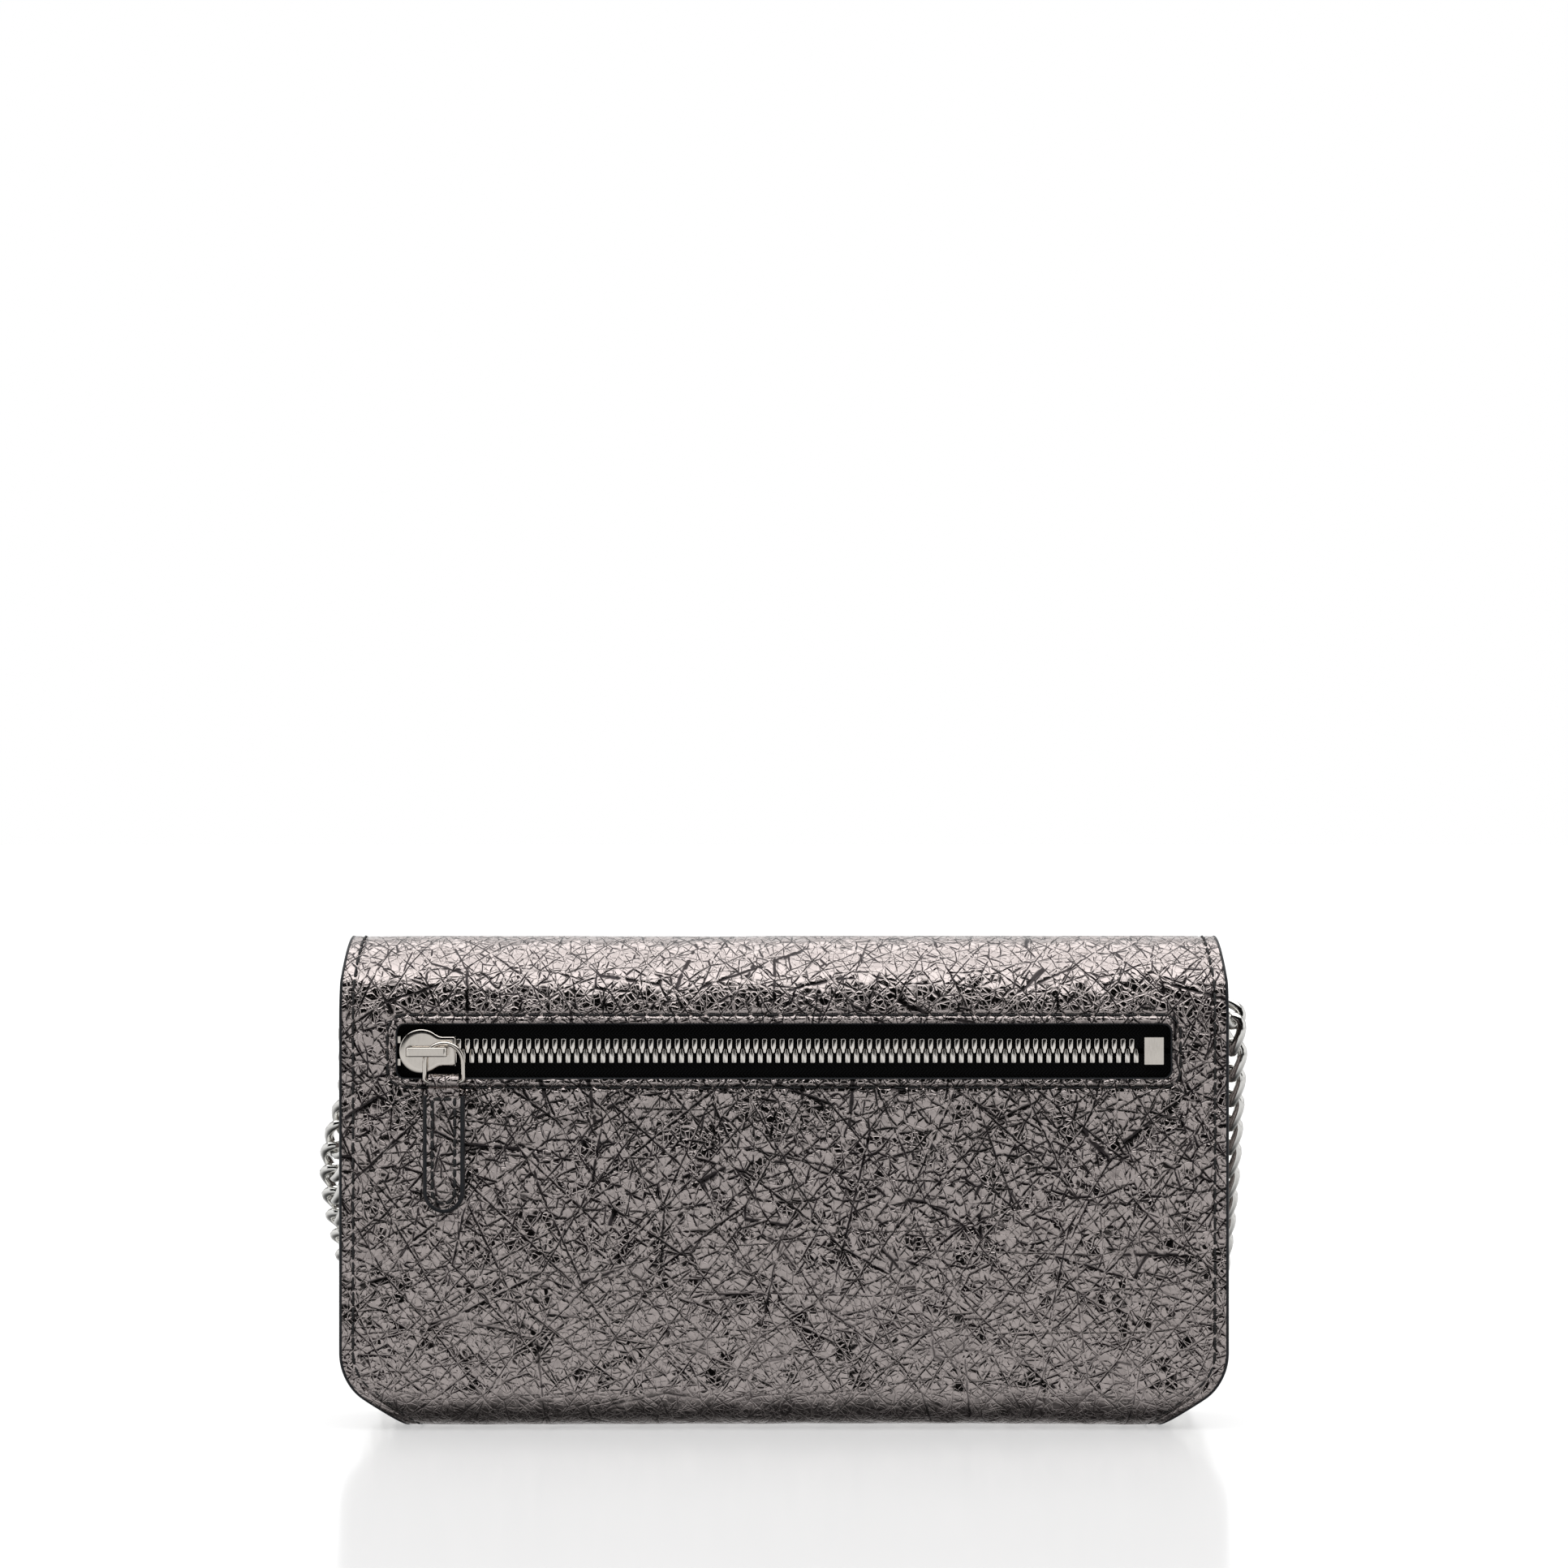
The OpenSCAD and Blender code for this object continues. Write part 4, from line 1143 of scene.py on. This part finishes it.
# ---- Chain ----
PITCH = 6.1
WIRE = 2.15
LINK_LONG = (PITCH + WIRE) / 2
LINK_WIDE = (7.2 - WIRE) / 2
LINK_TWIST = 1.15


def chain_link(centre, run, across):
    """One curb link: an oval of round wire, twisted so that the next one lies flat in it."""
    run, across = unit(run), np.asarray(across, float)
    across = unit(across - run * np.dot(across, run))
    over = np.cross(run, across)
    t = np.arange(22) * 2 * math.pi / 22
    path = (centre + np.outer(np.cos(t) * LINK_LONG, run) + np.outer(np.sin(t) * LINK_WIDE, across)
            + np.outer(np.sin(2 * t) * LINK_TWIST, over))
    return tube(path, (WIRE / 2, WIRE / 2), over, closed=True)


def make_chain():
    run_right = [(93, -7.3, 91), (96, -6.6, 89), (97, -5, 84), (97.1, -2, 76),
                 (97.1, 2, 67), (97.1, 6.5, 58), (97, 11.5, 49), (96.8, 17, 40),
                 (96.3, 23, 31), (95.4, 29.5, 23), (94, 36, 16), (91.5, 43, 10),
                 (88, 50.3, 5.8), (82.5, 58.7, 3.4), (75, 66, 2.4), (66, 71.3, 2.2)]
    run_left = [(-92.8, -7.3, 86), (-93, -6.9, 81), (-93.2, -5.6, 75.5), (-93.8, -3.2, 70),
                (-95.9, 0, 64), (-98, 3.5, 57.5), (-98.8, 7.5, 50.5), (-98.5, 12, 43.5),
                (-97.6, 17.5, 36.5), (-96.4, 23.5, 29.5), (-95, 30, 22.5), (-93.2, 36.5, 16),
                (-91, 43.4, 10.5), (-88, 50.7, 6.4), (-82.5, 58.7, 4.8), (-75, 66, 5.6),
                (-66, 71.3, 6.4)]
    end_x = 55.0
    mid = (hank_lo[1] + hank_hi[1]) / 2
    low_z, high_z = 2.2, 6.5

    def cap(cx, cy, r, a0, a1, z):
        return [(cx + r * math.cos(a), cy + r * math.sin(a), z) for a in np.radians(np.linspace(a0, a1, 14))]

    def straight(x0, x1, y, z, count=10):
        return [(x, y, z) for x in np.linspace(x0, x1, count)[1:-1]]

    wound = [(60, mid + 21.3, low_z)]
    wound += straight(56, -end_x, mid + 21.9, low_z)
    wound += cap(-end_x, mid, 21.9, 90, 270, low_z)
    wound += straight(-end_x, end_x, mid - 21.9, low_z)
    wound += cap(end_x, mid - 3.7, 18.2, -90, 90, low_z)
    wound += straight(end_x, -end_x, mid + 14.5, low_z)
    wound += cap(-end_x, mid, 14.5, 90, 270, low_z)
    wound += straight(-end_x, 15, mid - 14.5, low_z, 7)
    wound += [(15, mid - 14.5, low_z), (25, mid - 14.55, 3.3), (35, mid - 14.6, 4.9), (45, mid - 14.6, 6.1)]
    wound += cap(end_x, mid + 3.65, 18.25, -90, 90, high_z)
    wound += straight(end_x, -56, mid + 21.9, high_z)
    wound += [(-60, mid + 21.3, high_z)]
    path = smooth_path(run_right + wound + run_left[::-1], 10)
    length = path_length(path)
    path = resample(path, 0.25)
    count = int(round(length / PITCH))
    gap = length / count
    along = np.linspace(0, length, len(path))
    direction = unit(np.gradient(path, axis=0))
    parts = []
    previous = None
    for k in range(count):
        s = (k + 0.5) * gap
        centre = np.array([np.interp(s, along, path[:, c]) for c in range(3)])
        run = unit(np.array([np.interp(s, along, direction[:, c]) for c in range(3)]))
        flat_side = unit(np.cross(run, (0, 0, 1.0)))
        if previous is not None and np.dot(flat_side, previous) < 0:
            flat_side = -flat_side
        previous = flat_side
        hang = np.clip((centre[2] - 12) / 25, 0, 1)
        turn = math.radians(45) * hang * (1 if centre[0] > 0 else -1)
        across = flat_side * math.cos(turn) + np.cross(run, flat_side) * math.sin(turn)
        parts.append(chain_link(centre, run, across))
    points, faces = joined(parts)
    obj = add_object("chain", mesh_from("chain", points, faces), MAT["chain"], "body")
    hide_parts("chain_run_left", "chain_run_right", "chain_hank")
    rings = [shown(node, MAT["nickel"], 0) for node in ("dring_left", "dring_right")]
    rings + make_tie()
    return length


def make_tie():
    """A leather strap closed round the chain's far runs with a small press stud."""
    lo, hi = span("chain_tie")
    y0, y1, z0, z1 = lo[1] + 0.1, hi[1] - 0.1, lo[2] + 0.05, hi[2] - 0.7
    half_w = (hi[0] - lo[0]) / 2 - 0.1
    loop = round_rect(y0 + 0.45, y1 - 0.45, z0 + 0.45, z1 - 0.45, 2.6, 10)
    loop.append(loop[0])
    loop = resample(np.array(loop), 0.5)[:-1]
    path = np.stack([np.zeros(len(loop)), loop[:, 0], loop[:, 1]], 1)
    run = unit(np.roll(path, -1, 0) - np.roll(path, 1, 0))
    out = unit(np.cross(run, (1.0, 0, 0)))
    section = [(-1, -0.35), (-0.985, 0.3), (-0.9, 0.45), (0.9, 0.45),
               (0.985, 0.3), (1, -0.35), (0.93, -0.45), (-0.93, -0.45)]
    points = [p + np.array((w * half_w, 0, 0)) + o * t for p, o in zip(path, out) for w, t in section]
    m, n = len(section), len(path)
    faces = [(i * m + k, i * m + (k + 1) % m, (i + 1) % n * m + (k + 1) % m, (i + 1) % n * m + k)
             for i in range(n) for k in range(m)]
    strap = add_solid("chain_strap", (points, faces), "pocket", "body", 50)
    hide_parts("chain_tie")
    centre_y = (y0 + y1) / 2
    turn = np.linspace(0, 2 * math.pi, 28, endpoint=False)
    stud = [(2.1, 0.0), (2.1, 0.35), (1.85, 0.6), (1.2, 0.68), (0.5, 0.7)]
    points = [(r * math.cos(a), centre_y + r * math.sin(a), z1 - 0.05 + h) for r, h in stud for a in turn]
    count = len(turn)
    faces = []
    for i in range(len(stud) - 1):
        for k in range(count):
            m = (k + 1) % count
            faces.append((i * count + k, i * count + m, (i + 1) * count + m, (i + 1) * count + k))
    faces += [tuple(range(count)), tuple((len(stud) - 1) * count + k for k in range(count))]
    return [strap, add_solid("strap_stud", (points, faces), "nickel", "body")]


# ---- Everything else is the CAD's own shape ----
def dress_nodes():
    card_slots = [f"card_slot_{side}_{row}"
                  for side in ("left", "right") for row in ("top", "middle", "bottom")]
    for node in card_slots + ["front_slip_pocket"]:
        shown(node, MAT["pocket"], 0.15)
    for node in ("back_lining", "front_lining", "zip_pocket_front", "zip_pocket_back"):
        shown(node, MAT["lining"], 0)
    for node in ("back_board", "front_board", "bottom_board"):
        shown(node, MAT["board"], 0)
    shown("window_reinforcement", MAT["pocket"], 0)
    for node in ("snap_stud", "snap_stud_plate", "snap_socket", "snap_socket_plate"):
        shown(node, MAT["nickel"], 0.12)
    for node in ("dring_tab_left", "dring_tab_right"):
        shown(node, MAT["small_leather"], 0.15)


# ---- Floor and light ----
def make_floor():
    n = Nodes("floor")
    n.set(color=(0.5, 0.5, 0.5), rough=0.16, shine=0.16, glow=(1, 1, 1), glow_strength=0.42)
    corners = [(-6000, -4000, 0), (6000, -4000, 0), (6000, 8000, 0), (-6000, 8000, 0)]
    floor = add_object("floor", mesh_from("floor", corners, [(0, 1, 2, 3)], False), n.material)
    floor.location.z = -0.0002
    floor.visible_glossy = False


def make_world():
    """A white studio: a soft light overhead, bright sides, a grey card low down and a dark gap between."""
    n = Nodes("studio", bpy.data.worlds)
    bpy.context.scene.world = n.material
    n.tree.nodes.remove(n.tree.nodes["Background"])
    axes = n.axes(n.new("ShaderNodeTexCoord").outputs["Generated"])
    ramp = n.new("ShaderNodeValToRGB")
    n.link(n.ramp(axes["Z"], -1, 1, smooth=False), ramp.inputs[0])
    stops = ramp.color_ramp.elements
    # Angle above the horizon and brightness
    bands = [(-90, 0.012), (-76, 0.015), (-50, 0.08), (-25, 0.27), (-8, 0.38), (-2.5, 0.36),
             (0.8, 0.002), (42, 0.001), (47, 0.9), (60, 1.1), (90, 0.8)]
    stops[0].position, stops[1].position = 0.0, 1.0
    while len(stops) < len(bands):
        stops.new(0.5)
    for stop, (angle, value) in zip(stops, bands):
        stop.position = (math.sin(math.radians(angle)) + 1) / 2
        stop.color = (value, value, value, 1)
    above = n.ramp(axes["Z"], -0.1, 0.05)
    side = n.math("MULTIPLY", n.ramp(n.math("ABSOLUTE", axes["X"]), 0.66, 0.8, 0.0, 0.42), above)
    behind = n.math("MULTIPLY", n.ramp(axes["Y"], 0.6, 0.85, 0.0, 0.5), above)
    light = n.math("MAXIMUM", n.math("MAXIMUM", ramp.outputs[0], side), behind)
    studio, plain = (n.new("ShaderNodeBackground") for _ in range(2))
    n.link(light, studio.inputs["Color"])
    studio.inputs["Strength"].default_value = 2.0
    plain.inputs["Color"].default_value = (1, 1, 1, 1)
    mix = n.new("ShaderNodeMixShader")
    sources = (n.new("ShaderNodeLightPath").outputs["Is Camera Ray"], studio.outputs[0], plain.outputs[0])
    for source, socket in zip(sources, mix.inputs):
        n.link(source, socket)
    n.link(mix.outputs[0], n.tree.nodes["World Output"].inputs["Surface"])


chain_length = make_chain()
make_outer_leather()
make_front_wall()
make_inner_layers()
for hand in (-1, 1):
    make_gusset(hand)
make_zip()
make_pull()
dress_nodes()
make_floor()
make_world()
bpy.context.scene.view_settings.view_transform = "Standard"
